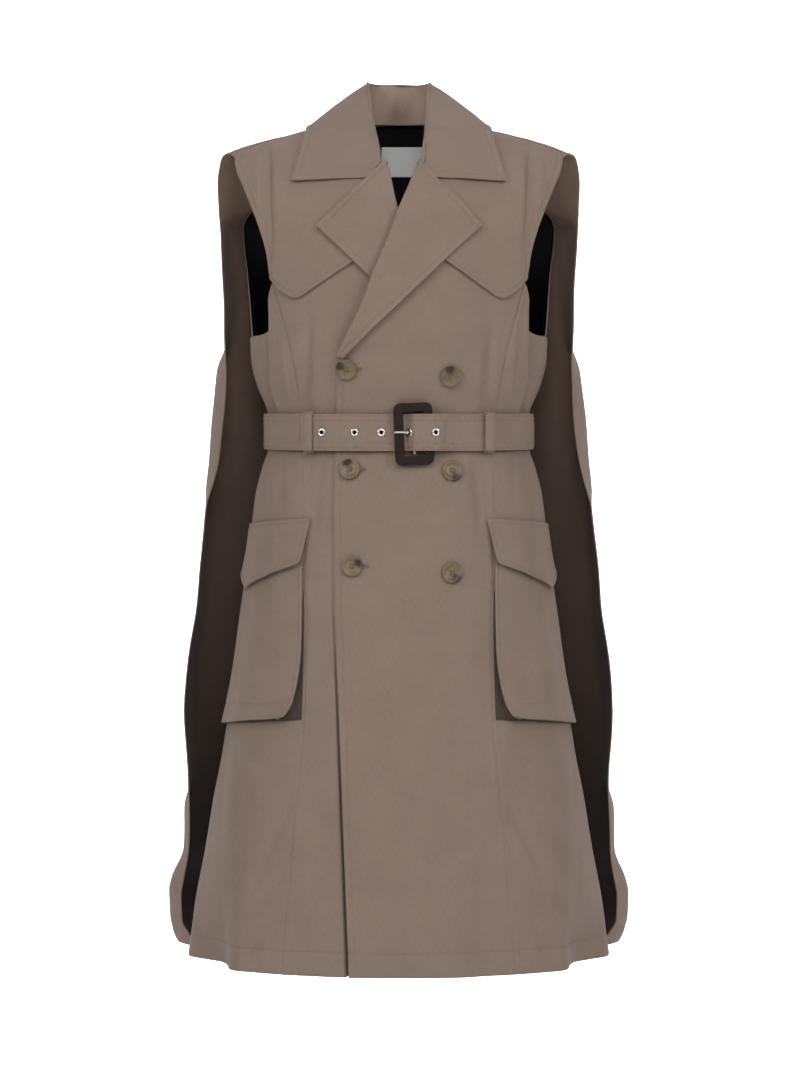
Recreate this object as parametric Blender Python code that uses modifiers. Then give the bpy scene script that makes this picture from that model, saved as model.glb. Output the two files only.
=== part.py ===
"""A belted, double-breasted trench vest with a long back cape, hollow as if worn.

Metres, +Z up. The wearer faces -Y, so the wearer's left is +X. The origin lies midway between the
shoulders at the height of the neck points, where the garment hangs. Every panel is a thin wall bent
through level sections; what lies on a panel is made from that panel's points, moved out.
"""

import math
from bisect import bisect_right
from collections import namedtuple

import bmesh
import bpy
from mathutils import Matrix, Vector

# Wall thicknesses and seam gap
CLOTH = 0.0016
LINING = 0.0008
BELT_CLOTH = 0.0024
SEAM = 0.0006

# Layers, as heights of the outer face above the base form of the body
FLAP_LIFT = 0.0024
LAPEL_LIFT = 0.0048
OVERLAP_LIFT = 0.0034
CROSSING_LIFT = 0.0092
LINING_LIFT = -0.0036
LABEL_LIFT = -0.0078

# Shoulder, neck and hem
RIDGE_AT = 0.1166
RIDGE_HEIGHT = 0.0045
RIDGE_SLOPE = -0.25
NECK_HALF = 0.066
NECK_BACK_Y = 0.064
NECK_BACK_HEIGHT = 0.030
SHOULDER_FALL = 0.13
SHOULDER_ROUNDNESS = 2.4
SHOULDER_OUTER = 0.188
BACK_OUTER = 0.174
HEM = -0.9675
HEM_FRONT_RISE = 0.003
HEM_FADE = -0.900
LINING_HEM = -0.322
UNDERARM = -0.2345
SEAM_TOP = -0.1790
SEAM_CLIMB = -0.330
SIDE_SEAM_Y = 0.022
SIDE_NEAR_Y = -0.024
SIDE_WIDEST_Y = 0.006
SIDE_BEYOND_Y = 0.056
SIDE_BEFORE = 0.012
ARMHOLE_CORNER = 0.66
EDGE_DROP = 0.0007

# Rows of the body panels: from the hem to the belt, under it, up to the underarm, up to the shoulder
SKIRT_ROWS = 15
BELT_ROWS = 3
WAIST_ROWS = 4
HIGH_ROWS = 12
LOW_ROWS = SKIRT_ROWS + BELT_ROWS + WAIST_ROWS
LOW_SHARE = LOW_ROWS / (LOW_ROWS + HIGH_ROWS)
ROW_SLACK = 0.0001
BELT_ZONE_LOW = -0.378
BELT_ZONE_TOP = -0.322

# Level sections of the body: half width and depths, squareness of the oval
Section = namedtuple("Section", "height half_width front_depth back_depth squareness")
SECTIONS = (
    Section(0.050, 0.270, 0.090, 0.080, 2.20),
    Section(-0.060, 0.262, 0.112, 0.102, 2.20),
    Section(-0.120, 0.232, 0.124, 0.114, 2.30),
    Section(-0.180, 0.196, 0.130, 0.119, 2.40),
    Section(-0.2335, 0.1775, 0.1305, 0.118, 2.45),
    Section(-0.260, 0.1762, 0.129, 0.115, 2.45),
    Section(-0.292, 0.1690, 0.123, 0.108, 2.40),
    Section(-0.324, 0.1570, 0.113, 0.098, 2.35),
    Section(-0.345, 0.1545, 0.109, 0.093, 2.35),
    Section(-0.3655, 0.1545, 0.109, 0.0935, 2.35),
    Section(-0.390, 0.1620, 0.113, 0.101, 2.35),
    Section(-0.420, 0.1700, 0.119, 0.110, 2.35),
    Section(-0.4524, 0.1735, 0.125, 0.118, 2.35),
    Section(-0.560, 0.1835, 0.139, 0.133, 2.30),
    Section(-0.690, 0.2025, 0.154, 0.148, 2.30),
    Section(-0.800, 0.2225, 0.1645, 0.160, 2.30),
    Section(-0.905, 0.2412, 0.172, 0.171, 2.30),
    Section(-0.9675, 0.2512, 0.1725, 0.177, 2.30),
)

# Seam and edge lines, each a distance from the middle at a height
Line = namedtuple("Line", "height x")
ARMHOLE_FRONT = (
    Line(-0.010, 0.1880), Line(-0.0356, 0.1916), Line(-0.0667, 0.1810), Line(-0.0891, 0.1716),
    Line(-0.1222, 0.1586), Line(-0.1465, 0.1517), Line(-0.1758, 0.1463),
)
SIDE_FRONT_SEAM = (
    Line(-0.1780, 0.1460), Line(-0.2216, 0.1348), Line(-0.2525, 0.1265), Line(-0.2933, 0.1184),
    Line(-0.3288, 0.1137), Line(-0.3756, 0.1120), Line(-0.4531, 0.1090), Line(-0.589, 0.1060),
    Line(-0.6808, 0.1078), Line(-0.7673, 0.1151), Line(-0.8445, 0.1215), Line(-0.9279, 0.1288),
    Line(-0.968, 0.1325),
)
ARMHOLE_BACK = (
    Line(-0.011, 0.1740), Line(-0.045, 0.1715), Line(-0.070, 0.1765), Line(-0.0816, 0.1867),
    Line(-0.0926, 0.1903), Line(-0.117, 0.1890), Line(-0.1464, 0.1856), Line(-0.2076, 0.1795),
    Line(-0.2345, 0.1763),
)
LEFT_EDGE = (
    Line(-0.968, -0.0560), Line(-0.930, -0.0570), Line(-0.870, -0.0595), Line(-0.700, -0.0665),
    Line(-0.600, -0.0708), Line(-0.545, -0.0735), Line(-0.455, -0.0745), Line(-0.330, -0.0722),
    Line(-0.2753, -0.0710),
)
ROLL = (
    Line(-0.2753, -0.0710), Line(-0.2151, -0.0416), Line(-0.1751, -0.0269), Line(-0.1353, -0.0099),
    Line(-0.1030, 0.0015), Line(-0.0449, 0.0256), Line(-0.0100, 0.0470), Line(0.0200, 0.0660),
)
LAPEL_OUTER = (
    Line(-0.2680, -0.0625), Line(-0.2015, 0.0072), Line(-0.1187, 0.0925),
)
LAPEL_FOOT = ROLL[0].height + 0.009
LAPEL_GORGE = -0.0449
LAPEL_FOOT_EASE = 0.001
LAPEL_CURL = 0.0010
LAPEL_HIDDEN = 0.25
UNDERLAP = -0.062

# The right lapel rolls nearer the middle than the left one, most at the gorge
RIGHT_ROLL_LOW = -0.103
RIGHT_ROLL_SHIFT = 0.008

# How far the left front stands off: where the stand-off of its lap and of its crossing lapels starts and ends
Zone = namedtuple("Zone", "start end")
LAP_TOP = Zone(-0.100, -0.060)
LAP_SIDE = Zone(0.066, 0.106)
CROSSING_FOOT = Zone(-0.268, -0.240)
CROSSING_TOP = Zone(-0.115, -0.065)
CROSSING_SIDE = Zone(0.042, 0.100)

# Where the hem changes from its front height to its side height
HEM_SIDE = Zone(-0.140, -0.030)

# The deep vertical fold beside the side panel: where its edge stands, how far in and back it falls behind
Fold = namedtuple("Fold", "height edge_x inset depth")
SIDE_FOLD = (
    Fold(-0.178, 0.1480, 0.004, 0.001), Fold(-0.2335, 0.1500, 0.020, 0.006),
    Fold(-0.290, 0.1495, 0.020, 0.006), Fold(-0.330, 0.1400, 0.006, 0.002),
    Fold(-0.354, 0.1380, 0.000, 0.000), Fold(-0.600, 0.1580, 0.000, 0.000),
    Fold(-0.760, 0.1720, 0.002, 0.001), Fold(-0.880, 0.1810, 0.006, 0.004),
    Fold(-0.968, 0.1900, 0.014, 0.034),
)
FOLD_EDGE_LIMIT = 0.97
NEAR_INSET = 0.25
NEAR_DEPTH = 0.2
FRONT_STRETCH = 0.92

# Lower edge of the storm flaps, from the lapel to the armhole
STORM_EDGE = (
    Line(-0.1560, 0.0460), Line(-0.1620, 0.0560), Line(-0.1790, 0.0825), Line(-0.1900, 0.0995),
    Line(-0.1990, 0.1160), Line(-0.1895, 0.1340), Line(-0.1758, 0.1463),
)
STORM_INNER_TOP = 0.070
STORM_SEAM_DROP = 0.0030
STORM_SEAM_DIP = 0.0085
STORM_SEAM_SHARPNESS = 5
STORM_SEAM_OUTER = -0.0250
STORM_BOW = 0.024
STORM_EASE = 1.7
STORM_FLARE_LOW = 0.0010
STORM_FLARE_TOP = 0.0006
STORM_DROP = 0.0004

# Level sections of the cape: middle of the back, shoulder blade, side, free edge
Cape = namedtuple("Cape", "height back_y blade_x blade_y side_x side_y edge_x edge_y")
CAPE = (
    Cape(-0.100, 0.132, 0.105, 0.127, 0.1960, 0.086, 0.2175, 0.036),
    Cape(-0.185, 0.143, 0.108, 0.138, 0.1960, 0.088, 0.2130, 0.036),
    Cape(-0.229, 0.149, 0.110, 0.144, 0.1990, 0.086, 0.2112, 0.032),
    Cape(-0.270, 0.154, 0.113, 0.149, 0.2172, 0.074, 0.2087, 0.022),
    Cape(-0.307, 0.159, 0.116, 0.154, 0.2210, 0.070, 0.2093, 0.018),
    Cape(-0.343, 0.164, 0.120, 0.158, 0.2246, 0.070, 0.2118, 0.016),
    Cape(-0.380, 0.169, 0.124, 0.163, 0.2280, 0.072, 0.2166, 0.018),
    Cape(-0.416, 0.174, 0.128, 0.168, 0.2305, 0.078, 0.2263, 0.024),
    Cape(-0.434, 0.176, 0.130, 0.170, 0.2290, 0.090, 0.2330, 0.034),
    Cape(-0.550, 0.192, 0.140, 0.184, 0.2350, 0.105, 0.2457, 0.046),
    Cape(-0.682, 0.208, 0.152, 0.199, 0.2480, 0.112, 0.2615, 0.052),
    Cape(-0.767, 0.218, 0.158, 0.208, 0.2480, 0.106, 0.2554, 0.044),
    Cape(-0.800, 0.222, 0.160, 0.212, 0.2572, 0.086, 0.2540, 0.034),
    Cape(-0.850, 0.228, 0.164, 0.217, 0.2588, 0.082, 0.2560, 0.036),
    Cape(-0.888, 0.232, 0.167, 0.221, 0.2740, 0.090, 0.2615, 0.036),
    Cape(-0.904, 0.234, 0.168, 0.223, 0.2775, 0.090, 0.2640, 0.034),
    Cape(-0.934, 0.236, 0.170, 0.225, 0.2765, 0.090, 0.2630, 0.034),
    Cape(-0.952, 0.237, 0.171, 0.226, 0.2735, 0.090, 0.2568, 0.034),
    Cape(-0.9665, 0.238, 0.171, 0.227, 0.2680, 0.090, 0.2496, 0.034),
)
CAPE_HEM = -0.9665
CAPE_TURN = 0.72
CAPE_BODY_X = 0.172
CAPE_SEAM_GAP = 0.0012
CAPE_NECK_ROOM = 0.0025
CAPE_NECK_GROW = Zone(0.5, 1.0)
CAPE_NECK_FADE = Zone(0.0, 0.3)
CAPE_RIDGE_SHARE = 0.6
CAPE_SEAM_OUTER = 0.189
CAPE_RIDGE_GAP = 0.0040
CAPE_TIP_DROP = 0.0016
CAPE_EDGE_FORWARD = 0.5
CAPE_TIP_SHARPNESS = 8
CAPE_OVERHANG = (0.016, 0.0240, 0.0290, 0.0295)
CAPE_KNOTS = (0.0, 0.42, 0.80, 1.0)
NECK_SHARE = 0.36

# Steps of the cape down from its upper edge: drop below that edge, gap over the back
Step = namedtuple("Step", "drop gap")
CAPE_NECK_STEPS = (Step(0.0010, 0.0030), Step(0.010, 0.0060), Step(0.030, 0.0085), Step(0.062, 0.0110))
CAPE_SHOULDER_STEPS = (Step(0.007, 0.0056), Step(0.028, 0.0085), Step(0.060, 0.0110))

# Flutes of the cape at its hem: place from the middle (0) to the free edge (1), half spread, height of wave
Flute = namedtuple("Flute", "place spread wave")
FLUTES = (
    Flute(0.00, 0.11, 0.014), Flute(0.24, 0.10, -0.013), Flute(0.45, 0.10, 0.012),
    Flute(0.64, 0.08, -0.009),
)
FLUTE_TOP = -0.30

# Collar, from the middle of the back to the front end: neck seam, roll, outer edge
Collar = namedtuple("Collar", "along neck_x neck_y neck_z roll_x roll_y roll_z edge_x edge_y edge_z")
COLLAR = (
    Collar(0.00, 0.0000, 0.0610, 0.032, 0.0000, 0.0580, 0.0765, 0.0000, 0.106, 0.006),
    Collar(0.22, 0.0330, 0.0540, 0.031, 0.0225, 0.0565, 0.0757, 0.0560, 0.099, 0.007),
    Collar(0.40, 0.0545, 0.0330, 0.028, 0.0395, 0.0350, 0.0757, 0.0960, 0.066, 0.0094),
    Collar(0.58, 0.0620, 0.0040, 0.024, 0.0370, -0.0040, 0.0535, 0.1085, 0.006, 0.0132),
    Collar(0.76, 0.0500, -0.0430, 0.000, 0.0330, -0.0520, 0.0180, 0.1095, -0.054, -0.003),
    Collar(0.90, 0.0340, -0.0800, -0.034, 0.0265, -0.0860, -0.0220, 0.1168, -0.080, -0.040),
    Collar(1.00, 0.0240, -0.1000, -0.050, 0.0245, -0.1040, -0.0430, 0.1229, -0.092, -0.0647),
)
STAND_INSET = 0.0022
STAND_DROP = 0.0022
STAND_END = 0.90
STAND_CENTRE_Y = -0.005
COLLAR_SHIFT = 0.0033
COLLAR_SHIFTED = Zone(0.60, 1.00)
COLLAR_CLEAR_INNER = 0.0080
COLLAR_CLEAR_OUTER = 0.0070
COLLAR_FRONT = Zone(0.54, 0.64)
COLLAR_ABOVE = Zone(-0.001, 0.012)
COLLAR_GROUND_DROP = 0.0005
COLLAR_EXTRA_CLEAR = 0.8
COLLAR_HIGH = Zone(0.02, 0.06)

# The fall swells over the stand at the back and over the shoulder
FALL_BULGE = 0.006
BULGE_SIDE = 0.4
BULGE_BACK = 0.5
BULGE_UP = 0.8
BULGE_SIDE_START = 0.2
SHOULDER_SWELL = 0.008
SHOULDER_SWELL_START = Zone(0.22, 0.42)
SHOULDER_SWELL_END = Zone(0.60, 0.80)

# The notch: the fall's front edge runs level from its point, then turns up along the gorge seam
NOTCH_DROP = 0.0149
NOTCH_TURN = Zone(0.84, 1.00)
NOTCH_END = Zone(0.86, 1.00)

# Belt and buckle
BELT_HEIGHT = -0.3470
BELT_DIP = -0.0065
BELT_HALF = 0.021
BELT_SIDE = 0.1605
BELT_FRONT = 0.1180
BELT_BACK = 0.1010
BELT_SQUARE = 2.35
BUCKLE_X = 0.0172
BUCKLE_HEIGHT = -0.3552
BUCKLE_WIDE = 0.0445
BUCKLE_TALL = 0.071
BUCKLE_BAR = 0.0106
BUCKLE_THICK = 0.0054
BUCKLE_ROUND = 0.0018
BUCKLE_CORNER = 0.010
BUCKLE_WINDOW_CORNER = 0.004
BUCKLE_LEFT_LIFT = 0.0070
BUCKLE_RIGHT_LIFT = 0.0022
BUCKLE_TURN = math.radians(2.5)
CENTRE_ROD = 0.0014
CENTRE_ROD_HALF = 0.0228
PRONG_ROD = 0.0012
EYELETS_X = (-0.0868, -0.0496, -0.0195, 0.0113, 0.0402)
EYELET_RING = 0.0036
EYELET_STEPS = 10
EYELET_SIDES = 4
EYELET_WIRE = 0.0011
EYELET_HELD = 4
EYELET_HELD_CLEAR = 0.0012

# Run of the belt: columns of its wall used up so far, and distance from the middle reached at the front
Stop = namedtuple("Stop", "columns x")
BELT_STOPS = (Stop(0, 0.016), Stop(38, 0.096), Stop(44, 0.056), Stop(62, 0.002), Stop(74, -0.112))

# Height of the strap above the belt's own oval as it runs through the buckle, by distance from the middle
Strap = namedtuple("Strap", "x lift")
STRAP = (
    Strap(-0.120, 0.0029), Strap(-0.008, 0.0029), Strap(0.0086, 0.0030), Strap(0.0130, 0.0078),
    Strap(0.0172, 0.0116), Strap(0.030, 0.0110), Strap(0.0435, 0.0102), Strap(0.054, 0.0052),
    Strap(0.072, 0.0012), Strap(0.095, 0.0),
)

# Height of the prong above the belt's own oval, by distance from the middle
PRONG = (Strap(0.0110, 0.0110), Strap(0.0060, 0.0118), Strap(-0.0045, 0.0116))

# Belt loops: height of the loop above the body, by distance from the belt's middle line
LOOP_X = 0.1028
LOOP_HALF = 0.0062
LOOP_OVER = 0.0056
Loop = namedtuple("Loop", "rise lift")
LOOP = (
    Loop(-0.0276, 0.0026), Loop(-0.0268, 0.0036), Loop(-0.0252, 0.0110), Loop(-0.0236, 0.0160),
    Loop(0.0000, 0.0166), Loop(0.0236, 0.0160), Loop(0.0252, 0.0110), Loop(0.0268, 0.0036),
    Loop(0.0276, 0.0026),
)

# Bellows pockets on the side panels; distances run round the body from the side-front seam
POCKET_TOP = -0.478
POCKET_BOTTOM_INNER = -0.6795
POCKET_BOTTOM_OUTER = -0.6965
POCKET_INNER = 0.002
POCKET_MARGIN = 0.006
POCKET_LIFT_TOP = 0.0021
POCKET_LIFT_INNER = 0.0085
POCKET_LIFT_OUTER = 0.0058
POCKET_LIFT_EDGE = 0.004
POCKET_CORNER_HEIGHT = -0.600
POCKET_CORNER_IN = 0.026
GUSSET_TURN = 9 / 19
GUSSET_TOP = 0.72
GUSSET_FOOT = 0.0013
GUSSET_DROP = 0.0028
FLAP_INNER = -0.010
FLAP_TOP_INNER = -0.4514
FLAP_TOP_OUTER = -0.4590
FLAP_LOW_INNER = -0.5030
FLAP_LOW_TIP = -0.5330
FLAP_LOW_OUTER = -0.5080
FLAP_INNER_LOW = 0.001
FLAP_OUTER_MARGIN = 0.003
FLAP_TIP_SHARE = 0.55
FLAP_LIFT_TOP = 0.0030
FLAP_LIFT_INNER = 0.0110
FLAP_LIFT_OUTER = 0.0070
FLAP_EASE = 0.7
LIFT_SIDE = Zone(0.35, 0.80)

# Buttons, on the lapped left front
Button = namedtuple("Button", "name x height")
BUTTONS = (
    Button("button_1", -0.0588, -0.2810), Button("button_2", 0.0586, -0.2886),
    Button("button_3", -0.0550, -0.3962), Button("button_4", 0.0603, -0.3979),
    Button("button_5", -0.0520, -0.5063), Button("button_6", 0.0596, -0.5138),
)
BUTTON_RADIUS = 0.012
BUTTON_THICK = 0.0040
BUTTON_CLEAR = 0.0004
BUTTON_STEPS = 14
MERGE_DISTANCE = 0.00005

# Profile of a button from the middle of its back to that of its face, in shares of its radius and thickness
Turning = namedtuple("Turning", "radius height")
BUTTON_PROFILE = (
    Turning(0.0, 0.0), Turning(0.80, 0.0), Turning(1.0, 0.45), Turning(0.96, 1.0), Turning(0.78, 1.0),
    Turning(0.66, 0.72), Turning(0.0, 0.72),
)

# Blank neck label
LABEL_X = 0.007
LABEL_WIDE = 0.060
LABEL_TOP = 0.006
LABEL_LOW = -0.029
LABEL_CLOTH = 0.0006

# Extra room between the halves of the back where their seam bends in to the neck
MIDDLE_ROOM = 0.0004

# The lining's part of the back's width, and its drop below the back's upper edge
LINING_SHARE = Zone(0.10, 0.90)
LINING_DROP = 0.003

# Step for finding which way a surface faces
NEARBY = 0.0006
FRONT_COLUMN_EASE = 0.8

# Colours and finishes: red, green, blue, roughness, metallic
FINISHES = {
    "gabardine": (0.235, 0.180, 0.145, 0.85, 0.0),
    "cape_cloth": (0.235, 0.180, 0.145, 0.85, 0.0),
    "lining": (0.010, 0.010, 0.012, 0.6, 0.0),
    "leather": (0.030, 0.020, 0.016, 0.5, 0.0),
    "steel": (0.55, 0.55, 0.55, 0.3, 1.0),
    "horn": (0.26, 0.18, 0.11, 0.35, 0.0),
    "label_satin": (0.75, 0.75, 0.75, 0.5, 0.0),
}


def smooth_curve(places, values):
    """Return a smooth function through the values, which never overshoots between them."""
    slopes = []
    for index in range(len(places) - 1):
        slopes.append((values[index + 1] - values[index]) / (places[index + 1] - places[index]))
    tangents = [slopes[0]]
    for before, after in zip(slopes, slopes[1:]):
        tangents.append(0.0 if before * after <= 0 else 2 * before * after / (before + after))
    tangents.append(slopes[-1])

    def at(place):
        place = min(max(place, places[0]), places[-1])
        index = min(max(bisect_right(places, place) - 1, 0), len(places) - 2)
        span = places[index + 1] - places[index]
        part = (place - places[index]) / span
        bend = part * part * (3 - 2 * part)
        start = part * (1 - part) ** 2 * tangents[index] * span
        finish = part * part * (part - 1) * tangents[index + 1] * span
        return values[index] + (values[index + 1] - values[index]) * bend + start + finish

    return at


def column(table, name, key="height"):
    """Return one named column of a table as a smooth function of its key column."""
    rows = sorted(table, key=lambda row: getattr(row, key))
    return smooth_curve([getattr(row, key) for row in rows], [getattr(row, name) for row in rows])


half_width = column(SECTIONS, "half_width")
front_depth = column(SECTIONS, "front_depth")
back_depth = column(SECTIONS, "back_depth")
squareness = column(SECTIONS, "squareness")
armhole_front = column(ARMHOLE_FRONT, "x")
side_front_seam = column(SIDE_FRONT_SEAM, "x")
armhole_back = column(ARMHOLE_BACK, "x")
left_edge = column(LEFT_EDGE, "x")
roll_line = column(ROLL, "x")
fold_edge = column(SIDE_FOLD, "edge_x")
fold_inset = column(SIDE_FOLD, "inset")
fold_depth = column(SIDE_FOLD, "depth")
lapel_outer = column(LAPEL_OUTER, "x")
storm_low = column(STORM_EDGE, "height", "x")
strap_lift = column(STRAP, "lift", "x")
loop_lift = column(LOOP, "lift", "rise")
cape_columns = {name: column(CAPE, name) for name in Cape._fields[1:]}
collar_columns = {name: column(COLLAR, name, "along") for name in Collar._fields[1:]}


def blend(low, high, place):
    """Return 0 below low, 1 above high, with a smooth rise between."""
    part = min(max((place - low) / (high - low), 0.0), 1.0)
    return part * part * (3 - 2 * part)


def across_zone(zone, place):
    """Return 0 before a zone, 1 after it, with a smooth rise between."""
    return blend(zone.start, zone.end, place)


def mix(first, second, part):
    """Return the value a given part of the way from the first to the second."""
    return first + (second - first) * part


def spline(points, knots, place):
    """Return the point at a place on a smooth curve through points set at the knots."""
    index = min(max(bisect_right(knots, place) - 1, 0), len(points) - 2)
    tangents = []
    for at in (index, index + 1):
        before = max(at - 1, 0)
        after = min(at + 1, len(points) - 1)
        tangents.append((points[after] - points[before]) / (knots[after] - knots[before]))
    span = knots[index + 1] - knots[index]
    part = (place - knots[index]) / span
    bend = part * part * (3 - 2 * part)
    start = tangents[0] * (part * (1 - part) ** 2 * span)
    finish = tangents[1] * (part * part * (part - 1) * span)
    return points[index].lerp(points[index + 1], bend) + start + finish


def oval(x, wide, deep, power):
    """Return the depth of a squared oval at a distance from its middle."""
    return deep * (1 - min(abs(x) / wide, 1.0) ** power) ** (1 / power)


def oval_side(y, wide, deep, power):
    """Return the half width of a squared oval at a depth."""
    return wide * (1 - (y / deep) ** power) ** (1 / power)


def ridge(x):
    """Return the height of the shoulder line."""
    return RIDGE_HEIGHT + RIDGE_SLOPE * (abs(x) - RIDGE_AT)


def shoulder_rise(drop):
    """Return how much of its full depth a panel has, a given drop below the shoulder line."""
    part = 1 - min(max(drop / SHOULDER_FALL, 0.0), 1.0)
    return math.sqrt(1 - part ** SHOULDER_ROUNDNESS)


def front(x, z):
    """Return a point on the base form of the front."""
    depth = oval(x, half_width(z), front_depth(z), squareness(z))
    return Vector((x, -depth * shoulder_rise(ridge(x) - z), z))


def neck_y(x):
    """Return how far back the neckline lies."""
    return NECK_BACK_Y * max(1 - (x / NECK_HALF) ** 2, 0.0)


def back_top(x):
    """Return the height of the back's upper edge: the shoulder line, raised at the neck."""
    lift = max(1 - (x / NECK_HALF) ** 2, 0.0)
    return mix(ridge(max(abs(x), NECK_HALF)), NECK_BACK_HEIGHT, lift)


def back(x, z):
    """Return a point on the base form of the back."""
    depth = oval(x, half_width(z), back_depth(z), squareness(z))
    start = neck_y(x)
    return Vector((x, mix(start, max(depth, start), shoulder_rise(back_top(x) - z)), z))


def side_points(z):
    """Return the points that shape a side panel at a height, with one more beyond each of its seams."""
    wide = half_width(z)
    power = squareness(z)
    edge = min(fold_edge(z), wide * FOLD_EDGE_LIMIT)
    inset = fold_inset(z)
    start = side_front_seam(z)
    valley = front((edge + wide) / 2, z) + Vector((-inset, fold_depth(z), 0))
    near_x = oval_side(-SIDE_NEAR_Y, wide, front_depth(z), power) - NEAR_INSET * inset
    seam_x = oval_side(SIDE_SEAM_Y, wide, back_depth(z), power)
    beyond_x = oval_side(SIDE_BEYOND_Y, wide, back_depth(z), power)
    return [
        front(start - SIDE_BEFORE, z), front(start, z), front((start + edge) / 2, z), front(edge, z), valley,
        Vector((near_x, SIDE_NEAR_Y + NEAR_DEPTH * inset, z)), Vector((wide, SIDE_WIDEST_Y, z)),
        Vector((seam_x, SIDE_SEAM_Y, z)), Vector((beyond_x, SIDE_BEYOND_Y, z)),
    ]


def lengths(points):
    """Return the distance walked along a run of points, at each of them."""
    walked = [0.0]
    for before, after in zip(points, points[1:]):
        walked.append(walked[-1] + (after - before).length)
    return walked


def side_length(z):
    """Return the length round a side panel at a height."""
    return lengths(side_points(z)[1:-1])[-1]


def around(distance, z):
    """Return a point on the left side panel, a distance round the body from its front seam."""
    if distance < 0:
        return front(side_front_seam(z) + distance * FRONT_STRETCH, z)
    points = side_points(z)
    knots = lengths(points)
    return spline(points, knots, min(distance + knots[1], knots[-1]))


def outward(surface, first, second):
    """Return the outward direction of a surface, from points close by."""
    across = surface(first + NEARBY, second) - surface(first - NEARBY, second)
    upward = surface(first, second + NEARBY) - surface(first, second - NEARBY)
    return across.cross(upward).normalized()


def raised(surface, first, second, lift):
    """Return a point of a surface moved out by a lift."""
    return surface(first, second) + outward(surface, first, second) * lift


def back_turned(x, z):
    """Return a point on the back, its sideways distance reversed so that out is backward."""
    return back(-x, z)


def left_lift(x, z):
    """Return how far the lapped left front stands off the base form."""
    lapped = OVERLAP_LIFT * (1 - across_zone(LAP_TOP, z)) * (1 - across_zone(LAP_SIDE, x))
    crossing = across_zone(CROSSING_FOOT, z) * (1 - across_zone(CROSSING_TOP, z))
    return lapped + (CROSSING_LIFT - OVERLAP_LIFT) * crossing * (1 - across_zone(CROSSING_SIDE, x))


def no_lift(x, z):
    """Return no lift, for what lies on the right front."""
    return 0.0


def right_roll(z):
    """Return the distance of the right lapel's roll line from the middle."""
    return roll_line(z) - RIGHT_ROLL_SHIFT * blend(RIGHT_ROLL_LOW, LAPEL_GORGE, z)


def hung(point):
    """Return a point of the skirt moved by the uneven fall of its hem, which is shorter in front."""
    rise = HEM_FRONT_RISE * (1 - across_zone(HEM_SIDE, point.y))
    return point + Vector((0, 0, rise * (1 - blend(HEM, HEM_FADE, point.z))))


def mirrored(point):
    """Return a point on the other side of the garment."""
    return Vector((-point.x, point.y, point.z))


def finish(name):
    """Return a material with a plain colour and finish."""
    material = bpy.data.materials.new(name)
    red, green, blue, roughness, metallic = FINISHES[name]
    material.use_nodes = True
    shader = material.node_tree.nodes["Principled BSDF"]
    shader.inputs["Base Color"].default_value = (red, green, blue, 1.0)
    shader.inputs["Roughness"].default_value = roughness
    shader.inputs["Metallic"].default_value = metallic
    return material


def add_object(name, data, material):
    """Put an object with its material in the garment's collection."""
    item = bpy.data.objects.new(name, data)
    data.materials.append(materials[material])
    garment.objects.link(item)
    return item


def sheet(name, point, columns, rows, material="gabardine", thickness=CLOTH, mirror=False):
    """Make a thin wall whose outer face is given by a function of two shares from 0 to 1."""
    grid = bmesh.new()
    bmesh.ops.create_grid(grid, x_segments=columns, y_segments=rows, size=0.5)
    for vertex in grid.verts:
        across = vertex.co.x + 0.5
        up = vertex.co.y + 0.5
        vertex.co = mirrored(point(1 - across, up)) if mirror else point(across, up)
    mesh = bpy.data.meshes.new(name)
    grid.to_mesh(mesh)
    grid.free()
    item = add_object(name, mesh, material)
    wall = item.modifiers.new("wall", "SOLIDIFY")
    wall.thickness = thickness
    wall.offset = -1
    return item


def below_underarm(share):
    """Return whether the row at a share of a front or back lies at or below the underarm."""
    return share < LOW_SHARE + ROW_SLACK


def level_row(share):
    """Return the height of the level row at a share of the way from the hem to the underarm."""
    row = min(share, 1.0) * LOW_ROWS
    if row < SKIRT_ROWS:
        return mix(HEM, BELT_ZONE_LOW, row / SKIRT_ROWS)
    if row < SKIRT_ROWS + BELT_ROWS:
        return mix(BELT_ZONE_LOW, BELT_ZONE_TOP, (row - SKIRT_ROWS) / BELT_ROWS)
    return mix(BELT_ZONE_TOP, UNDERARM, (row - SKIRT_ROWS - BELT_ROWS) / WAIST_ROWS)


def panel_row(share, low, top):
    """Return the height at a share of a panel's rows: level to the underarm, then easing to its top edge."""
    if below_underarm(share):
        return level_row(share / LOW_SHARE)
    return mix(low, top, math.sin((share - LOW_SHARE) / (1 - LOW_SHARE) * math.pi / 2))


def seam_row(z):
    """Return the height on the side-front seam of a row that is level elsewhere; it climbs to the armhole."""
    return z + (SEAM_TOP - UNDERARM) * blend(SEAM_CLIMB, UNDERARM, z)


def front_outline(share, edge, roll):
    """Return the inner and outer ends of a front's row as two distances and two heights."""
    inner_z = panel_row(share, UNDERARM, ridge(NECK_HALF))
    outer_z = panel_row(share, SEAM_TOP, ridge(SHOULDER_OUTER))
    inner_x = roll(inner_z) if inner_z > ROLL[0].height else edge(inner_z)
    if below_underarm(share):
        outer_z = seam_row(outer_z)
        outer_x = side_front_seam(outer_z - EDGE_DROP)
    else:
        outer_x = armhole_front(outer_z)
    return inner_x + SEAM, outer_x - SEAM / 2, inner_z, outer_z


def left_front(across, up):
    """Return a point on the outer face of the lapped left front."""
    inner_x, outer_x, inner_z, outer_z = front_outline(up, left_edge, roll_line)
    share = across ** FRONT_COLUMN_EASE
    x = mix(inner_x, outer_x, share)
    z = mix(inner_z, outer_z, share)
    return hung(raised(front, x, z - EDGE_DROP, left_lift(x, z)))


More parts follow.
